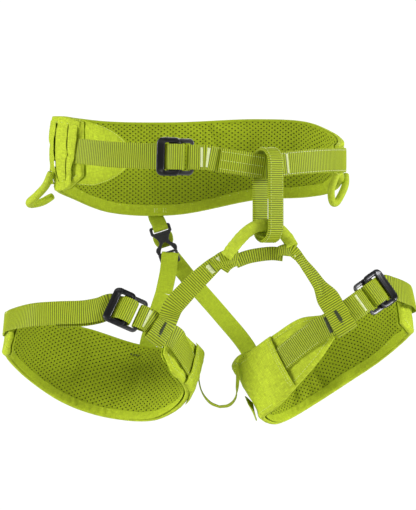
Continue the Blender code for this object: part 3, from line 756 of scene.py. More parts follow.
class Pad:
    """A padded wall whose two faces are read at a distance along it and a distance down from its top edge."""

    def __init__(self, name, wall, thick, caps):
        fine = np.linspace(0, len(wall) - 1, 400)
        edges = smooth(wall, fine)
        middle = (edges[:, :3] + edges[:, 3:]) / 2
        run = np.concatenate([[0], np.cumsum(np.linalg.norm(np.diff(middle, axis=0), axis=1))])
        self.length = run[-1]
        self.runs, self.rows_at = run, fine
        self.heights = np.linalg.norm(edges[:, 3:] - edges[:, :3], axis=1)
        self.rows = int(self.length / 4.5)
        self.columns = int(self.heights.mean() / 4.5) + 1
        at = np.interp(np.linspace(0, self.length, self.rows), run, fine)
        shares = np.linspace(0, 1, self.columns)
        outer = wall_points(wall, at, shares, 0)
        inner = wall_points(wall, at, shares, -thick)
        outer, inner = inflate(name, outer, inner, caps)
        self.grids = [self.padded_grid(outer), self.padded_grid(inner)]

    @staticmethod
    def padded_grid(grid):
        """The grid with one more row and column on every side, so that its edges read smoothly."""
        grid = np.concatenate([2 * grid[:1] - grid[1:2], grid, 2 * grid[-1:] - grid[-2:-1]], axis=0)
        return np.concatenate([2 * grid[:, :1] - grid[:, 1:2], grid, 2 * grid[:, -1:] - grid[:, -2:-1]], axis=1)

    def height(self, run):
        return np.interp(run, self.runs, self.heights)

    def run_at(self, station):
        """Distance along the wall at a station number of its list."""
        return float(np.interp(station, self.rows_at, self.runs))

    def sample(self, side, run, share):
        grid = self.grids[side]
        i = np.clip(run / self.length * (self.rows - 1), 0, self.rows - 1)
        j = np.clip(share * (self.columns - 1), 0, self.columns - 1)
        i0 = np.minimum(np.floor(i).astype(int), self.rows - 2)
        j0 = np.minimum(np.floor(j).astype(int), self.columns - 2)
        total = 0
        for a, wa in enumerate(cubic_weights(i - i0)):
            for b, wb in enumerate(cubic_weights(j - j0)):
                total = total + grid[i0 + a, j0 + b] * (wa * wb)[..., None]
        return total

    def read(self, side, run, drop, lift=0.0):
        """Points lifted off a side, 0 outer or 1 inner, and the directions away from the pad there."""
        run, drop, lift = np.broadcast_arrays(*(np.asarray(value, float) for value in (run, drop, lift)))
        share = drop / self.height(run)
        point = self.sample(side, run, share)
        ahead = self.sample(side, np.minimum(run + 0.6, self.length), share)
        behind = self.sample(side, np.maximum(run - 0.6, 0), share)
        lower = self.sample(side, run, np.minimum(share + 0.01, 1))
        upper = self.sample(side, run, np.maximum(share - 0.01, 0))
        normal = unit(np.cross(ahead - behind, lower - upper))
        away = point - self.sample(1 - side, run, share)
        normal = normal * np.sign((normal * away).sum(axis=-1, keepdims=True))
        return point + normal * lift[..., None], normal


def rounding(distance, radius):
    """Height share of a rounded edge at a distance in from it."""
    return np.sqrt(np.clip(1 - (1 - np.minimum(distance / radius, 1)) ** 2, 0, 1))


def spaced(length, step, border=(0.0, 0.12, 0.45, 1.0, 1.9)):
    """Distances from 0 to length, close together near both ends."""
    inner = np.linspace(border[-1], length - border[-1], max(3, int(length / step)))
    return np.concatenate([border[:-1], inner, length - np.array(border[:-1])[::-1]])


def pad_piece(name, pad, body, nodes, wrinkle, seed):
    """The padded form itself: both faces, meeting in a rounded edge."""
    run = spaced(pad.length, 2.2)[:, None]
    shares = spaced(100.0, 2.4, (0.0, 0.15, 0.6, 1.4, 2.6))[None] / 100
    drop = shares * pad.height(run)
    outer, out_way = pad.read(0, run, drop)
    inner, _ = pad.read(1, run, drop)
    inward = np.minimum(np.minimum(drop, pad.height(run) - drop), np.minimum(run, pad.length - run))
    full = rounding(inward, 3.4)[..., None]
    soft = ripple(seed, run, drop, (14, 60)) * wrinkle + ripple(seed + 1, run, drop, (5, 12)) * wrinkle * 0.3
    middle = (outer + inner) / 2
    front = middle + (outer - middle) * full + out_way * (soft * rounding(inward, 6))[..., None]
    back = middle + (inner - middle) * full
    obj = add_sheet(name, front, back, run, drop, "shell", body, nodes, "ripstop")


def layer(name, pad, side, runs, drops, thick, material, body, nodes=(), slot="ripstop", lift=0.3, bump=None,
          step=2.0, edge=0.9, shift=None):
    """A cloth laid on a side of a pad between two distances along it and two drops.

    A drop counts from the pad's top edge, or from its bottom edge if it is below zero. shift moves the cloth's
    two ends along the pad: it gives both distances at a share of the height.
    """
    run = (runs[0] + spaced(runs[1] - runs[0], step, (0.0, 0.1, 0.35, 0.8)))[:, None]

    def limits():
        height = pad.height(run)
        return [drop + (height if drop < 0 else 0 * height) for drop in drops]

    low, high = limits()
    shares = spaced(float((high - low).max()), step, (0.0, 0.1, 0.35, 0.8))[None]
    shares = shares / shares.max()
    if shift:
        first, last = shift(shares)
        run = first + (last - first) * (run - runs[0]) / (runs[1] - runs[0])
        low, high = limits()
    drop = low + (high - low) * shares
    inward = np.minimum(np.minimum(drop - low, high - drop), np.minimum(run - run[:1], run[-1:] - run))
    base = lift(run, drop) if callable(lift) else np.full(drop.shape, float(lift))
    shape = bump(run, drop, inward) if bump else 0.0
    front, _ = pad.read(side, run, drop, base + (thick + shape) * rounding(inward, edge))
    back, _ = pad.read(side, run, drop, base)
    return add_sheet(name, front, back, run, drop, material, body, nodes, slot)


def perforated(name, pad, runs, bottom_gap, body, nodes, lift=0.95, depth=0.75):
    """A lining with staggered rows of holes, from the top edge down to the band along the bottom. Each hole's wall
    and floor are near-black: painted shade inside the hole.
    """
    turns = np.arange(8) * math.pi / 4
    w, h = HOLE_PITCH / 2, HOLE_ROW / 2
    outline = np.array([(w, 0), (w, h), (0, h), (-w, h), (-w, 0), (-w, -h), (0, -h), (w, -h)])
    circle = np.stack([np.cos(turns), np.sin(turns)], axis=-1)
    middles = []
    for number in range(int(pad.heights.max() / HOLE_ROW)):
        start = runs[0] + w + (number % 2) * w
        run = np.arange(start, runs[1] - w, HOLE_PITCH)
        drop = 2.6 + HOLE_ROW * (number + 0.5)
        kept = drop < np.minimum(pad.height(run - w), pad.height(run + w)) - bottom_gap
        middles.append(np.stack([run[kept], np.full(kept.sum(), drop)], axis=-1))
    middles = np.concatenate(middles)[:, None]
    rings = [middles + outline, middles + circle * HOLE_RADIUS * 1.25, middles + circle * HOLE_RADIUS,
             middles + circle * HOLE_RADIUS * 0.9]
    flat = np.concatenate(rings, axis=1)
    lifts = np.repeat([lift, lift + 0.04, lift - 0.1, lift - depth], 8)[None]
    points, _ = pad.read(1, flat[..., 0], flat[..., 1], np.broadcast_to(lifts, flat.shape[:2]))
    one = np.concatenate([tube_faces(4, 8), [[24, 25, 26, 27], [24, 27, 28, 29], [24, 29, 30, 31]]])
    # the first two rings of faces are lining; the hole's wall and floor are painted shade
    marks = [0] * 16 + [1] * 11
    count = len(middles)
    faces = (one[None] + (np.arange(count) * 32)[:, None, None]).reshape(-1, 4)
    return add_piece(name, points.reshape(-1, 3), faces, ["lining", "hole_shade"], body, nodes, "mesh",
                     flat.reshape(-1, 2), marks=np.tile(marks, count), sharp=80)


def seam_on_pad(key, pad, side, runs, drop, lift):
    """A dashed stitch line on a side of a pad. drop is a number or a function of the distance along it."""
    run = np.arange(runs[0], runs[1] - STITCH_LENGTH, STITCH_STEP)
    height = drop if callable(drop) else (lambda places: np.full(len(places), float(drop)))
    a, normal = pad.read(side, run, height(run), lift)
    b, _ = pad.read(side, run + STITCH_LENGTH, height(run + STITCH_LENGTH), lift)
    sew(key, a, b, normal)


def seam_down_pad(key, pad, run, drops):
    """A dashed stitch line down the inner side of a pad."""
    drop = np.arange(drops[0], drops[1] - STITCH_LENGTH, STITCH_STEP)
    a, normal = pad.read(1, run, drop, 1.75)
    b, _ = pad.read(1, run, drop + STITCH_LENGTH, 1.75)
    sew(key, a, b, normal)


def pad_bartack(key, pad, run, drop, width, height, lift):
    """A block of threads on a pad's inner side, each thread along the pad."""
    starts = run - width / 2 + np.arange(0, width, STITCH_STEP)
    for row_drop in drop + np.arange(0, height, 0.7):
        a, normal = pad.read(1, starts, row_drop, lift)
        b, _ = pad.read(1, starts + STITCH_LENGTH, row_drop, lift)
        sew(key, a, b, normal)


def puckers(seed, band):
    """Bump of a gathered band: folds that start at its stitch line and fade towards its edge."""

    def bump(run, drop, inward):
        folds = ripple(seed, run, drop * 0.15, (4, 11), 10, (-0.3, 0.3))
        body = np.clip(inward / band * 2.2, 0, 1)
        below = drop - (drop.min(axis=1, keepdims=True) + 1.6)
        seam = np.exp(-((below / 0.7) ** 2))
        return (0.4 + 0.2 * seam) * folds * (body + 0.6 * seam) + 0.9 * np.sin(body * 1.57) - 0.75 * seam

    return bump


def dress_pad(prefix, pad, body, band, seed, cad, lining_runs):
    """What every pad has: the padded form, the lining, the gathered band below, the trim above and the seams."""
    pad_piece(f"{prefix}_pad", pad, body, cad["pad"], 0.35, seed)
    perforated(f"{prefix}_lining", pad, lining_runs, 1.8, body, cad["lining"])
    whole = (0.4, pad.length - 0.4)
    layer(f"{prefix}_bottom_band", pad, 1, whole, (-band, -0.2), 0.9, "band", body, cad["band"], "binding", 1.0,
          puckers(seed, band))
    layer(f"{prefix}_top_trim", pad, 1, whole, (0.3, 3.0), 0.7, "lining", body, (), "binding", 0.5)
    key = thread_key(f"{prefix}_seam_threads", body, "lime_thread", "binding")
    seam_on_pad(key, pad, 1, (3, pad.length - 3), lambda s: pad.height(s) - band + 1.6, 1.65)
    seam_on_pad(key, pad, 0, (3, pad.length - 3), 5.0, 0.1)
    seam_on_pad(key, pad, 0, (3, pad.length - 3), lambda s: pad.height(s) - 5.0, 0.1)


# The belt

BELT = Pad("belt_form", belt_wall(), 6.4, (0.9, 1.6))


def make_belt():
    cad = {"pad": ("belt_outer_shell", "belt_foam_core"), "lining": ("belt_mesh_lining",),
           "band": ("belt_bottom_binding",)}
    dress_pad("belt", BELT, "belt", 12.0, 11, cad, (BELT.run_at(0.55), BELT.run_at(7.35)))
    left = (BELT.run_at(6.3), BELT.length - 1)
    right = (1.0, BELT.run_at(0.75))

    def smooth_cloth(run, drop, inward):
        return ripple(5, run, drop, (18, 45)) * 0.18

    def left_edge(share):
        """The patch reaches furthest along the belt at its mid height."""
        reach = np.sqrt(np.clip(1 - (2 * share - 1) ** 2, 0, 1))
        tip, heel, foot = (BELT.run_at(station) for station in (5.55, 6.95, 7.9))
        return heel + (foot - heel) * share**2 - (heel - tip) * reach, left[1] + 0 * share

    layer("belt_left_patch", BELT, 1, left, (1.0, -10.5), 0.9, "shell", "belt", ("belt_end_patch_left",),
          "ripstop", 1.0, smooth_cloth, shift=left_edge)
    layer("belt_right_patch", BELT, 1, right, (1.0, -9.0), 0.7, "shell", "belt", ("belt_end_patch_right",),
          "ripstop", 1.0, smooth_cloth)
    key = thread_key("belt_patch_threads", "belt", "lime_thread", "binding")
    seam_down_pad(key, BELT, right[1] - 2.0, (4, BELT.height(right[1]) - 10))
    share = np.linspace(0.04, 0.96, 60)
    rim = left_edge(share)[0] + 2.2
    drop = 1 + (BELT.height(rim) - 11.5) * share
    a, normal = BELT.read(1, rim, drop, 1.95)
    b, _ = BELT.read(1, rim + np.gradient(rim) * 0.7, drop + np.gradient(drop) * 0.7, 1.95)
    sew(key, a, b, normal)
    block = BELT.run_at(5.23)
    pad_bartack(key, BELT, block, BELT.height(block) - 8.5, 15.0, 5.0, 2.3)


def wing_band(number, runs):
    """A loop of stretch cloth over the webbing on the wing: tucked in above, gathered into the tab below."""
    share = spaced(1.0, 0.1, (0.0, 0.02, 0.06))[None]
    down = np.linspace(0, 1, 44)[:, None]
    gather = 1 - 0.45 * np.clip((down - 0.45) / 0.55, 0, 1) ** 1.5
    run = WING_MIDDLE + (runs[0] + (runs[1] - runs[0]) * share - WING_MIDDLE) * gather
    drop = 4.5 + (BELT.height(run) - 11.0) * down
    arch = np.clip(np.sin(math.pi * np.clip(0.05 + 0.9 * down, 0, 1)), 0, 1) ** 0.5
    crown = np.sqrt(np.clip(1 - (2 * share - 1) ** 4, 0, 1))
    folds = ripple(40 + number, run, drop * 0.12, (5, 10), 8, (-0.2, 0.2)) * 0.35 * (1.3 - arch)
    level = 0.8 + (WING_LIFT - 0.8) * arch + folds + 0.7 * crown * arch
    front, _ = BELT.read(0, run, drop, level)
    back, _ = BELT.read(0, run, drop, level - WING_THICK * crown)
    add_sheet(f"wing_loop_{number}", front, back, drop, run, "shell", "belt", (f"wing_band_{number}",),
              "ripstop")


WING_BANDS = ((7.55, 7.97), (8.05, 8.5), (8.6, 9.3), (9.38, 9.9))
WING_MIDDLE = BELT.run_at(8.85)
WING_LIFT = 5.0
WING_THICK = 0.9


def make_wing_bands():
    for number, (start, end) in enumerate(WING_BANDS, 1):
        wing_band(number, (BELT.run_at(start), BELT.run_at(end)))
    top = (BELT.run_at(7.3), BELT.length - 0.6)
    layer("wing_top_panel", BELT, 0, top, (0.3, 7.2), 1.1, "shell", "belt", (), "ripstop", 1.3)
    foot = (BELT.run_at(8.35), BELT.run_at(9.45))
    layer("wing_tab", BELT, 0, foot, (-10.5, -0.1), 1.2, "shell", "belt", (), "ripstop", 1.5,
          lambda run, drop, inward: 0.3 * ripple(52, run, drop * 0.1, (4, 9), 8, (-0.2, 0.2)), 1.2)
    key = thread_key("wing_threads", "belt", "lime_thread", "ripstop")
    seam_on_pad(key, BELT, 0, (top[0] + 2, top[1] - 2), 5.6, 2.5)
    seam_on_pad(key, BELT, 0, (foot[0] + 2, foot[1] - 2), lambda s: BELT.height(s) - 8.4, 2.8)


def left_belt_route():
    return belt_rows(STRAP_LIFT, (172, 12), (181, 12), (190, 11.5), (202, 10), (214, 8.2), (230, 4.8), (243, 3.0))


def right_belt_route():
    return [belt_row(277.6, -1.6, SIDE_LIFT)] + belt_rows(
        STRAP_LIFT, (288, -5.2), (297, -8.0), (304, -5.6), (321, -2.3), (335, -1.0), (349, -0.5), (365, 0),
        (385, 0), (405, 0))


def route_run(route, at):
    """Distance along a route at a row number."""
    rows, places = even_rows(route, 0.5)
    return float(np.interp(at, rows, places))


def make_belt_webbing():
    tail = belt_rows(TAIL_LIFT, (247, 2.6), (236, 3.6), (228, 5.0), inward=True)
    webbing("belt_left_strap", left_belt_route() + in_buckle(BELT_BUCKLE, THREADED) + tail, WEBBING_WIDTH,
            WEBBING_THICK, "belt", ("belt_adjusting_webbing",))
    right = in_buckle(BELT_BUCKLE, SEWN) + right_belt_route()
    webbing("belt_right_strap", right, WEBBING_WIDTH - 1, WEBBING_THICK, "belt", ("belt_tie_in_webbing",))
    overlay = [belt_row(278, -1.7, 4.4)] + belt_rows(OVERLAY_LIFT, (285, -4.2), (291, -6.4), (296.5, -8.4))
    webbing("tie_in_fold", overlay, WEBBING_WIDTH - 2, 2.0, "belt", ("tie_in_overlay",), rib=0.22)
    pale = thread_key("belt_pale_threads", "belt", "pale_thread")
    lime = thread_key("belt_lime_threads", "belt", "lime_thread")
    sewn = route_run(right, len(SEWN) - 1)
    bartack(pale, right, sewn - 5.0, 19, STITCH_LIFT)
    bartack(pale, right, sewn + 0.8, 19, STITCH_LIFT)
    length = route_run(overlay, len(overlay) - 1)
    for aside in (-8.5, 0.0, 8.5):
        seam_on_ribbon(lime, overlay, 1.0, length - 1, aside, 1.1)
    start = route_run(right, len(SEWN) + 3.0)
    end = route_run(right, len(right) - 1) - 3
    for aside in (-10.2, 10.2):
        seam_on_ribbon(pale, right, start, end, aside, STITCH_LIFT)
    bartack(pale, right, start + 6.0, 19, STITCH_LIFT)
    bartack(lime, right, end, 20, STITCH_LIFT)


# Belay loop and the bridge that hangs in it


def belay_line(pitch=RIB_PITCH):
    """The closed loop's middle line, read at an even step."""
    x, y, _ = BELAY_PIVOT
    yaw = math.radians(BELAY_YAW)
    forward = np.array([math.sin(yaw), -math.cos(yaw), 0])
    side = np.array([math.cos(yaw), math.sin(yaw), 0])
    radius = (BELAY_DEPTH - BELAY_THICK) / 2
    straight = BELAY_HEIGHT / 2 - BELAY_THICK / 2 - radius
    length = 2 * math.pi * radius + 4 * straight
    count = round(length / pitch) * RIB_ROWS
    run = np.arange(count) * length / count
    middle, outward = [], []
    for place in run:
        half = math.pi * radius + 2 * straight
        sign = 1 if place < half else -1
        within = place % half
        if within < math.pi * radius:
            a = within / radius
            out = (forward * math.cos(a) + np.array([0, 0, math.sin(a)])) * sign
            middle.append(out * radius + np.array([0, 0, straight * sign]))
        else:
            out = -forward * sign
            middle.append(out * radius + np.array([0, 0, (straight - (within - math.pi * radius)) * sign]))
        outward.append(out)
    middle = np.array(middle) + np.array([x, y, BELAY_MIDDLE_Z])
    outward = np.array(outward)
    across = np.broadcast_to(side, middle.shape)
    return middle, across, outward, np.ones((count, 1)), run * (round(length / pitch) * pitch / length)


def make_belay_loop():
    webbing("belay_band", None, BELAY_WIDTH, BELAY_THICK, "belay_loop", ("belay_loop",), rib=0.42, closed=True,
            line=belay_line())
    key = thread_key("belay_threads", "belay_loop", "lime_thread")
    middle, across, outward, _, run = belay_line()
    spots = np.arange(0, len(run), 9)
    for aside in (-6.6, 6.6):
        a = middle[spots] + across[spots] * aside + outward[spots] * (BELAY_THICK / 2 - 0.1)
        ahead = (spots + 6) % len(run)
        b = middle[ahead] + across[ahead] * aside + outward[ahead] * (BELAY_THICK / 2 - 0.1)
        sew(key, a, b, outward[spots])


def tube_piece(name, route, radius, material, body, nodes, slot, profile, sides=20, step=0.9):
    """A tube along a smooth route, whose radius follows profile(run, turn, length)."""
    rows = [(*place, 0, 0, 1, 1) for place in route]
    at, run = even_rows(rows, step)
    line = smooth(route, at)
    along = unit(np.gradient(line, axis=0))
    side = unit(np.cross(along, np.array([0.13, 1.0, 0.21])))
    up = np.cross(side, along)
    turn = np.arange(sides) * 2 * math.pi / sides
    size = radius * profile(run[:, None], turn[None], run[-1])
    ring = side[:, None] * np.cos(turn)[None, :, None] + up[:, None] * np.sin(turn)[None, :, None]
    points = (line[:, None] + ring * size[..., None]).reshape(-1, 3)
    count = len(run)
    ends = [range(sides), range((count - 1) * sides, count * sides)]
    cloth = np.stack(np.broadcast_arrays(run[:, None], turn[None] * radius), axis=-1).reshape(-1, 2)
    add_piece(name, points, [*tube_faces(count, sides), *ends], material, body, nodes, slot, cloth, weld=False,
              sharp=60)


SLEEVE_ROUTE = [(26.5, -83.5, -96.5), (38, -84, -82), (45.5, -86, -74), (55, -86, -67.5), (68, -80, -65.5),
                (79, -74.5, -70), (87, -75, -78), (92.5, -79.5, -86.5)]


def sleeve_profile(run, turn, length):
    """Slack cloth round a bundle of webbing: creases across it, more at its ends, and a seam along it."""
    ends = np.exp(-run / 7) + np.exp(-(length - run) / 7)
    creases = ripple(77, run, turn * 2.2, (4, 12), 12, (-0.5, 0.5)) * (0.02 + 0.05 * ends)
    seams = 0.035 * np.cos(10 * turn) ** 4
    return 1 + creases + seams - 0.1 * ends


def make_bridge():
    left_strap, right_strap = left_front_route(), right_front_route()
    left = wrap_round(left_strap, len(SEWN) - 1, WEBBING_WIDTH / 2 + 0.6, BRIDGE_REACH, -0.05)
    left += route_rows((-26, -76.5, -147, -90, 5), (-17, -76, -136), (-0.5, -77, -119, -90, 0, 0.92),
                       (13, -79, -106.5, -90, 0, 0.8), (25, -80, -97, -90, 0, 0.6))
    left_blend = ("belt", "left_leg", (10, -79, -109), (-26, -76, -147))
    webbing("bridge_left_strap", left, BRIDGE_WIDTH, BRIDGE_THICK, "belt", ("bridge_left_webbing",),
            pitch=BRIDGE_PITCH, blend=left_blend)
    tube_piece("bridge_tube", SLEEVE_ROUTE, 5.9, "sleeve", "belt", ("bridge_sleeve",), "cord", sleeve_profile)
    lower = route_rows((36, -76, -101.5), (48, -74, -97), (61, -73, -94.5), (73, -73, -93.5), (83, -74, -94.5))
    webbing("bridge_short_strap", lower, 13.5, BRIDGE_THICK, "belt", ("bridge_lower_webbing",),
            pitch=BRIDGE_PITCH)
    right = wrap_round(right_strap, len(SEWN), WEBBING_WIDTH / 2 + 0.6, BRIDGE_REACH, -0.05)
    right += route_rows((126, -85, -136, -88, 5), (119, -84.5, -125, -75, 0, 0.65), (112, -84, -113.5, -60, 0, 0.5),
                        (103, -83, -103, -50, 0, 0.5), (95, -82, -92.5, -60, 0, 0.5))
    right_blend = ("belt", "right_leg", (108, -84, -109), (126, -85, -136))
    webbing("bridge_right_strap", right, BRIDGE_WIDTH + 2, BRIDGE_THICK, "belt", ("bridge_right_webbing",),
            pitch=BRIDGE_PITCH, blend=right_blend)
    folded = route_rows((97, -84.2, -97.5, -60, 0, 0.8), (103.5, -85.6, -107, -60, 0), (110, -86.4, -117, -70, 0),
                        (116.5, -87, -128, -80, 0), (119, -87, -136, -88, 0, 0.6))
    webbing("bridge_right_fold", folded, 6.5, 2.6, "belt", pitch=BRIDGE_PITCH, blend=right_blend)
    make_bridge_joins()
    make_bridge_threads(left, left_blend, right, right_blend)


def make_bridge_joins():
    """Folded ends that join the sleeve, the short strap and the two bridge straps."""
    left = route_rows((15, -79.5, -105, -90, 5, 0.8), (22, -81.2, -100, -90, 5), (30, -81, -97, -90, 5),
                      (38, -78.6, -97.8, -88, 0, 0.9))
    fold = route_rows((25, -79.4, -110.5, -90, -20, 0.9), (28, -80.2, -106, -90, -10), (33, -79.5, -102.5, -90, 0),
                      (38, -77.6, -101, -90, 0))
    right = route_rows((79, -75.6, -91, -90, 0, 0.8), (86, -78, -90, -85, 0), (92, -80.4, -91, -75, 0),
                       (98, -82, -96.5, -60, 0, 0.85))
    webbing("bridge_left_join", left, 15.0, 4.2, "belt", rib=0.2)
    webbing("bridge_left_fold", fold, 9.5, 4.4, "belt", rib=0.18)
    webbing("bridge_right_join", right, 12.0, 4.6, "belt", rib=0.2)


def make_bridge_threads(left, left_blend, right, right_blend):
    key = thread_key("bridge_left_bartacks", "belt", "pale_thread", "webbing", left_blend)
    for at, lift in ((9.85, 1.0), (10.65, 3.0)):
        bartack(key, left, route_run(left, at), 9.5, lift, 4.4, 0.45, 0.7)
    key = thread_key("bridge_right_bartacks", "belt", "pale_thread", "webbing", right_blend)
    bartack(key, right, route_run(right, len(right) - 1) - 3, 8, 0.95, 2.2)


# Leg loops

LEFT = Pad("left_leg_form", LEFT_LEG_WALL, 5.4, (0.8, 1.5))
RIGHT = Pad("right_leg_form", RIGHT_LEG_WALL, 5.4, (0.8, 1.5))


def left_front_route():
    front = wall_rows(LEFT_LEG_WALL, (10.4, 0.33, 6.0), (9.9, 0.38, 3.6), (9.3, 0.48, 2.3),
                      (8.7, 0.54, STRAP_LIFT), (8.0, 0.54, STRAP_LIFT))
    return in_buckle(LEFT_BUCKLE, SEWN[:-1]) + [row(-38, -73, -169.2, -84, 20)] + front


def right_front_route():
    free = route_rows((147.5, -83.4, -150.5, -75, 20), (139, -84, -157.2, -82, 20))
    front = wall_rows(RIGHT_LEG_WALL, (11.6, 0.48, 4.2), (11.0, 0.48, 2.6), (10.4, 0.47, 2.3),
                      (9.7, 0.46, STRAP_LIFT), (9.0, 0.46, STRAP_LIFT))
    return in_buckle(RIGHT_BUCKLE, SEWN[:-1]) + free + front


def make_cuff(name, pad, stations, body, seed):
    """A sleeve of cloth over the end of the front webbing, open at its mouth and sewn down elsewhere."""
    runs = (pad.run_at(stations[0]), pad.run_at(stations[1]))

    def tunnel(run, drop):
        mouth = (run - runs[0]) / (runs[1] - runs[0])
        across = np.clip(drop / pad.height(run), 0, 1)
        arch = np.clip(np.sin(math.pi * across), 0, 1) ** 0.5
        return 0.35 + 3.7 * arch * np.clip(mouth * 1.8, 0, 1) ** 0.6

    def gathers(run, drop, inward):
        return 0.22 * ripple(seed, run * 0.3, drop, (5, 14), 10, (1.2, 1.9))

    layer(f"{name}_sleeve", pad, 0, runs, (0.3, -0.3), 0.9, "shell", body, (f"{name}_cuff",), "ripstop", tunnel,
          gathers, 1.6)
    key = thread_key(f"{name}_sleeve_threads", body, "lime_thread")
    for back in (2.2, 2.2 + 2.6):
        run = runs[1] - back
        drop = np.arange(3, pad.height(run) - 5, STITCH_STEP)
        a, normal = pad.read(0, run, drop, tunnel(run, drop) + 0.95)
        b, _ = pad.read(0, run, drop + STITCH_LENGTH, tunnel(run, drop + STITCH_LENGTH) + 0.95)
        sew(key, a, b, normal)


def make_end_patches(name, pad, body, stations):
    """Smooth patches at the two ends of a leg pad's inside, with their stitching."""
    first, last = (0.8, pad.run_at(stations[0])), (pad.run_at(stations[1]), pad.length - 0.8)
    for end, runs in (("outer", first), ("inner", last)):
        layer(f"{name}_{end}_patch", pad, 1, runs, (0.8, -8.5), 0.7, "shell", body, (), "ripstop", 1.0)
    key = thread_key(f"{name}_patch_threads", body, "lime_thread", "binding")
    for run in (first[1] - 1.8, last[0] + 1.8):
        seam_down_pad(key, pad, run, (4, pad.height(run) - 10))


def make_leg(name, pad, seeds, patches, cuff, front, side):
    """What both leg loops have: the pad, its end patches, the cuff and the two straps."""
    cad = {"pad": (f"{name}_outer_shell", f"{name}_foam_core"), "lining": (f"{name}_mesh_lining",),
           "band": (f"{name}_binding",)}
    dress_pad(name, pad, name, LEG_BAND, seeds[0], cad, (8.0, pad.length - 9))
    make_end_patches(name, pad, name, patches)
    make_cuff(name, pad, cuff, name, seeds[1])
    for part, route in (("front", front), ("side", side)):
        webbing(f"{name}_{part}_strap", route, WEBBING_WIDTH - 1, WEBBING_THICK, name,
                (f"{name}_{part}_webbing",))


def sew_leg_straps(name, front, side, fold, seam):
    """The bars across a leg loop's two straps and the seams along its front one. Returns two thread keys."""
    pale, dark, lime = (thread_key(f"{name}_{shade}_threads", name, f"{shade}_thread")
                        for shade in ("pale", "dark", "lime"))
    bartack(pale, front, route_run(front, len(SEWN) - 2.2), 19, STITCH_LIFT)
    bartack(dark, front, route_run(front, fold), 17, BRIDGE_REACH + 1.0, 3.6)
    bartack(lime, side, 3.0, 20, STITCH_LIFT)
    start, end = route_run(front, seam), route_run(front, len(front) - 1) - 1
    for aside in (-10, 10):
        seam_on_ribbon(lime, front, start, end, aside, STITCH_LIFT)
    return dark, lime


def make_left_leg():
    front = left_front_route()
    side = wall_rows(LEFT_LEG_WALL, (3.4, 0.2, SIDE_LIFT), (2.7, 0.2, SIDE_LIFT), (2.0, 0.22, SIDE_LIFT),
                     (1.2, 0.22, 2.6), (0.3, 0.18, 3.0))
    side += route_rows((-164, -62, -154, -107, 18), (-139, -68.5, -152, -98, 20), (-112, -73.5, -150.8, -92, 20),
                       (-97, -74.3, -148, -88, 20))
    tail = route_rows((-99, -70, -151, 92, -20), (-115, -68.8, -154, 88, -20), (-139, -64, -155, 82, -20))
    side += in_buckle(LEFT_BUCKLE, THREADED) + tail
    make_leg("left_leg", LEFT, (21, 61), (1.9, 10.2), (7.3, 8.85), front, side)
    dark, lime = sew_leg_straps("left_leg", front, side, len(SEWN) - 1, len(SEWN) + 2.2)
    pad_bartack(dark, LEFT, LEFT.run_at(5.0), 12.0, 10.5, 1.6, 1.3)
    for aside in (-10, 10):
        seam_on_ribbon(lime, side, 4, route_run(side, 3.6), aside, STITCH_LIFT)


def make_right_leg():
    front = right_front_route()
    side = wall_rows(RIGHT_LEG_WALL, (3.4, 0.2, SIDE_LIFT), (2.8, 0.15, SIDE_LIFT))
    side += route_rows((213, 6, -141, -2, 12), (213, -20, -137, -22, 14), (206.5, -40, -133, -42, 18),
                       (193, -52.5, -128, -55, 20))
    tail = route_rows((190, -47.5, -128, 125, -20), (201, -35, -133, 140, -18))
    side += in_buckle(RIGHT_BUCKLE, THREADED) + tail
    make_leg("right_leg", RIGHT, (31, 71), (1.2, 11.2), (8.85, 9.9), front, side)
    end = wall_rows(RIGHT_LEG_WALL, (7.55, 0.6, 2.6), (7.75, 0.74, 3.0), (7.95, 0.9, 3.8))
    webbing("right_leg_strap_end", end, 14.0, WEBBING_THICK, "right_leg")
    dark, _ = sew_leg_straps("right_leg", front, side, len(SEWN), len(SEWN) + 1.6)
    bartack(dark, front, route_run(front, len(SEWN)) + 13.5, 17, 0.9, 4.2)


def elastic(name, route, width, thick, nodes=(), blend=None):
    webbing(name, route, width, thick, "belt", nodes, "cord", "elastic", pitch=1.1, rib=0.09, columns=11,
            blend=blend)


def make_leg_link():
    """The thin elastic between the leg loops, in two halves that meet at its lowest point."""
    link = route_rows((0, 11, -203, 180), (-0.5, 6, -216, 190, -15), (3, 0, -232, 200, -40),
                      (11.5, -5, -242.7, -110, -55), (20.4, -8, -246.5, -90, -60), (29.4, -11, -245, -70, -55),
                      (35.8, -16, -238.5, -20, -40), (38, -22.5, -226.5, 40, -20), (38.5, -27.5, -213, 40, -10),
                      (37.5, -29.5, -203, 40, -10))
    middle = link[4][:3]
    for side, half, nodes, end in (("left", link[:5], ("leg_link_elastic",), (0, 8, -212)),
                                   ("right", link[4:], (), (38.5, -27, -213))):
        elastic(f"leg_link_{side}", half, LINK_WIDTH, LINK_THICK, nodes, ("belt", f"{side}_leg", middle, end))


# The rear riser


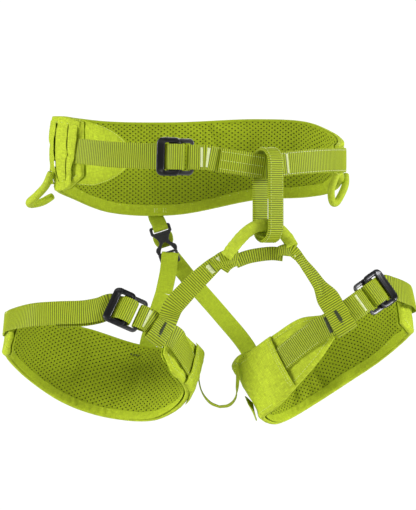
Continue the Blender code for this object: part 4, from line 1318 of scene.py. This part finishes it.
def make_riser():
    riser = route_rows((-46, 87.2, -30, 90), (-45.6, 87.4, -45, 90), (-44.2, 85.6, -56, 90))
    riser += [in_clip(0.6, y, z, pitch) for y, z, pitch in
              ((-1.6, 20.5, 0), (-2.8, 16.9, 5), (-2.0, 14.2, 40), (0, 13.4, 75))]
    elastic("riser_tape", riser, 15.0, 1.4, ("riser_strap",))
    left = route_rows((-29.2, 82.6, -92.4, -90, 40), (-29.6, 79.7, -94.6, -90, 5), (-31.5, 79.5, -112),
                      (-36, 79, -134), (-45, 74, -162), (-51, 72, -182), (-54, 68.5, -200))
    right = route_rows((-28, 91, -97), (-21.5, 90.5, -105), (-13.5, 87.5, -115), (-0.5, 81, -130), (24, 72, -158),
                       (47, 61, -186), (55, 55, -200))
    for side, route in (("left", left), ("right", right)):
        top, middle, foot = (route[k][:3] for k in (0, 3, -1))
        elastic(f"riser_{side}_upper", route[:4], RISER_WIDTH, RISER_THICK, (f"riser_{side}_elastic",),
                ("belt", "riser_socket", middle, top))
        elastic(f"riser_{side}_lower", route[3:], RISER_WIDTH, RISER_THICK, (),
                ("belt", f"{side}_leg", middle, foot))
    keeper = [in_clip(0, y, z, 0, share)
              for y, z, share in ((2.6, 11.5, 0.86), (3.8, 8, 1), (4.2, 4, 1), (3.8, 0, 0.9), (2.8, -4, 0.6))]
    elastic("riser_keeper", keeper, 20.0, RISER_THICK)
    key = thread_key("riser_bartack", "belt", "lime_thread", "cord")
    bartack(key, riser, 4.0, 13, 0.75, 2.4)


# Gear loops


def braid(run, turn, length):
    """The surface of a tube of woven cloth over a stiff core, pressed flat at both ends."""
    strands = np.cos(6 * turn + run * 2.1) * np.cos(6 * turn - run * 2.1)
    ends = np.exp(-run / 3) + np.exp(-(length - run) / 3)
    return 1 + 0.05 * strands - 0.15 * ends


def make_gear_loops():
    left = [(-147, -26, -13), (-152, -23, -25), (-162, -14, -36), (-169, -3, -42), (-168, 9, -44), (-158, 19, -42),
            (-147.5, 27, -36)]
    right = [(137, -41.5, -14), (131.5, -38, -29), (132.5, -28, -41.5), (136.5, -15, -43), (141.5, -3, -36),
             (146.5, 7, -24), (147, 12, -14)]
    for side, route, radius in (("left", left, 3.9), ("right", right, 3.6)):
        tube_piece(f"gear_tube_{side}", route, radius, "sleeve", f"{side}_gear_loop", (f"gear_loop_{side}",),
                   "cord", braid, 24, 0.4)


# Buckles and clip


def rounded_outline(x0, x1, half, radius):
    """A rounded rectangle's outline, with as many points however large it is."""
    steps = 8
    loop = []
    for corner, (cx, cz) in enumerate(((x1 - radius, half - radius), (x0 + radius, half - radius),
                                       (x0 + radius, radius - half), (x1 - radius, radius - half))):
        for step in range(steps + 1):
            turn = math.radians(90 * corner + 90 * step / steps)
            loop.append((cx + radius * math.cos(turn), cz + radius * math.sin(turn)))
    return np.array(loop)


def along_outline(loop):
    """A closed outline with each side split in four, so that its straight runs have points of their own."""
    steps = np.arange(4)[:, None] / 4
    return np.concatenate([here + (there - here) * steps for here, there in zip(loop, np.roll(loop, -1, axis=0))])


def ring_piece(name, outer, inner, front, back, matrix, material, body, nodes, dish=None):
    """A frame with a rounded section, between an outer and an inner outline, set in a buckle's own axes."""
    outer, inner = along_outline(outer), along_outline(inner)
    turn = np.arange(20) * 2 * math.pi / 20
    across, depth = (np.sign(wave) * np.abs(wave) ** 0.62 for wave in (np.cos(turn), np.sin(turn)))
    middle, half = (outer + inner) / 2, (outer - inner) / 2
    flat = middle[:, None] + half[:, None] * across[None, :, None]
    y = (front + back) / 2 + (front - back) / 2 * depth[None] * np.ones((len(outer), 1))
    if dish:
        y = y + dish(flat[..., 0], flat[..., 1], depth[None])
    local = np.stack([flat[..., 0], y, flat[..., 1]], axis=-1).reshape(-1, 3)
    points = local @ np.array(matrix.to_3x3()).T + np.array(matrix.translation)
    add_piece(name, points, tube_faces(len(outer), len(turn), True), material, body, nodes,
              "clip" if material == "clip" else "buckle", sharp=60)


def thumb_dish(x, z, depth):
    """The thick bar stands proud at its rims and is hollow between them."""
    across = np.clip((x - FRAME_X[0]) / THICK_BAR, 0, 1)
    bar = np.clip((FRAME_X[0] + THICK_BAR + 1 - x) / 2.5, 0, 1)
    hollow = np.clip(1 - (2 * across - 1) ** 2, 0, 1) * np.clip(1 - (z / (BUCKLE_HEIGHT / 2 - 3)) ** 4, 0, 1)
    return np.clip(depth, 0, 1) * bar * (1.5 * hollow - 0.9)


def finish_hard_parts():
    half = BUCKLE_HEIGHT / 2
    frame_outer = rounded_outline(FRAME_X[0] - 0.6, FRAME_X[1] + 0.4, half, 6.2)
    frame_inner = rounded_outline(FRAME_X[0] + THICK_BAR, FRAME_X[1] - THIN_BAR, WEBBING_WIDTH / 2 + 1.2, 1.6)
    slider_outer = rounded_outline(*SLIDER_X, half - 1.0, 5.2)
    slider_inner = rounded_outline(*SLIDER_WINDOW, WEBBING_WIDTH / 2 + 1.0, 1.4)
    for body, matrix in (("belt", BELT_BUCKLE), ("left_leg", LEFT_BUCKLE), ("right_leg", RIGHT_BUCKLE)):
        ring_piece(f"{body}_buckle_ring", frame_outer, frame_inner, -BUCKLE_THICK, 0, matrix, "buckle",
                   f"{body}_buckle", (f"{body}_buckle_frame",), thumb_dish)
        ring_piece(f"{body}_slider_ring", slider_outer, slider_inner, *SLIDER_DEPTH, matrix, "slider", body,
                   (f"{body}_buckle_slider",))


# Half the outline of the clip's fork, in millimetres across and along it
FORK = ((0, 11.6), (8.6, 11.6), (9.8, 9.8), (6.8, 6.6), (5.2, 2.6), (6.4, -0.6), (10.4, -3.6), (11.2, -6.2),
        (10.2, -9.8), (7.6, -9.6), (6.2, -6.4), (3.4, -1.8), (1.3, 0.5), (0, 1.1))
FORK_HALF_THICK = 1.7


def clip_matrix():
    """The clip's own axes: x across it, y to the back, z up its length."""
    lean = math.radians(CLIP_LEAN)
    across, up = Vector((math.cos(lean), 0, math.sin(lean))), Vector((-math.sin(lean), 0, math.cos(lean)))
    matrix = Matrix((across, Vector((0, 1, 0)), up)).transposed().to_4x4()
    matrix.translation = Vector(CLIP_PIVOT)
    return matrix


def in_clip(x, y, z, pitch=0.0, share=1.0):
    """A ribbon's route row in the clip's own axes, facing back and turned upwards by its pitch in degrees."""
    matrix, turn = clip_matrix(), math.radians(pitch)
    face = matrix.to_3x3() @ Vector((0, math.cos(turn), math.sin(turn)))
    return (*(matrix @ Vector((x, y, z))), *face, share)


def clip_ring(name, half_width, low, high, walls, half_thick, body, nodes=()):
    """A rounded frame of the clip between two places along it, with its side and end walls' widths."""
    middle = np.array([[0, (low + high) / 2]])
    half = (high - low) / 2
    outer = rounded_outline(-half_width, half_width, half, 2.3) + middle
    inner = rounded_outline(walls[0] - half_width, half_width - walls[0], half - walls[1], 0.8) + middle
    ring_piece(name, outer, inner, -half_thick, half_thick, clip_matrix(), "clip", body, nodes)


def make_clip():
    outline = list(FORK) + [(-x, z) for x, z in reversed(FORK) if x > 0]
    count = len(outline)
    matrix = clip_matrix()
    points = np.array([matrix @ Vector((x, y, z)) for y in (-FORK_HALF_THICK, FORK_HALF_THICK)
                       for x, z in outline])
    faces = [range(count), range(count, 2 * count)]
    faces += [[i, (i + 1) % count, count + (i + 1) % count, count + i] for i in range(count)]
    fork = add_piece("clip_fork", points, faces, "clip", "belt", ("riser_clip_plug",), "clip", weld=False,
                     sharp=60)
    bevel = fork.modifiers.new("moulded_edge", "BEVEL")
    bevel.width = 0.7 * MM
    bevel.segments = 3
    bevel.limit_method = "ANGLE"
    clip_ring("clip_strap_bar", 11.0, 9.6, 19.0, (3.0, 2.6), 2.0, "belt")
    clip_ring("clip_socket_ring", 10.2, -22.0, -8.6, (2.8, 2.6), 3.0, "riser_socket", ("riser_clip_socket",))


make_camera()
make_studio()
make_belt()
make_wing_bands()
make_belt_webbing()
make_belay_loop()
make_bridge()
make_left_leg()
make_right_leg()
make_leg_link()
make_riser()
make_gear_loops()
finish_hard_parts()
make_clip()
make_threads()
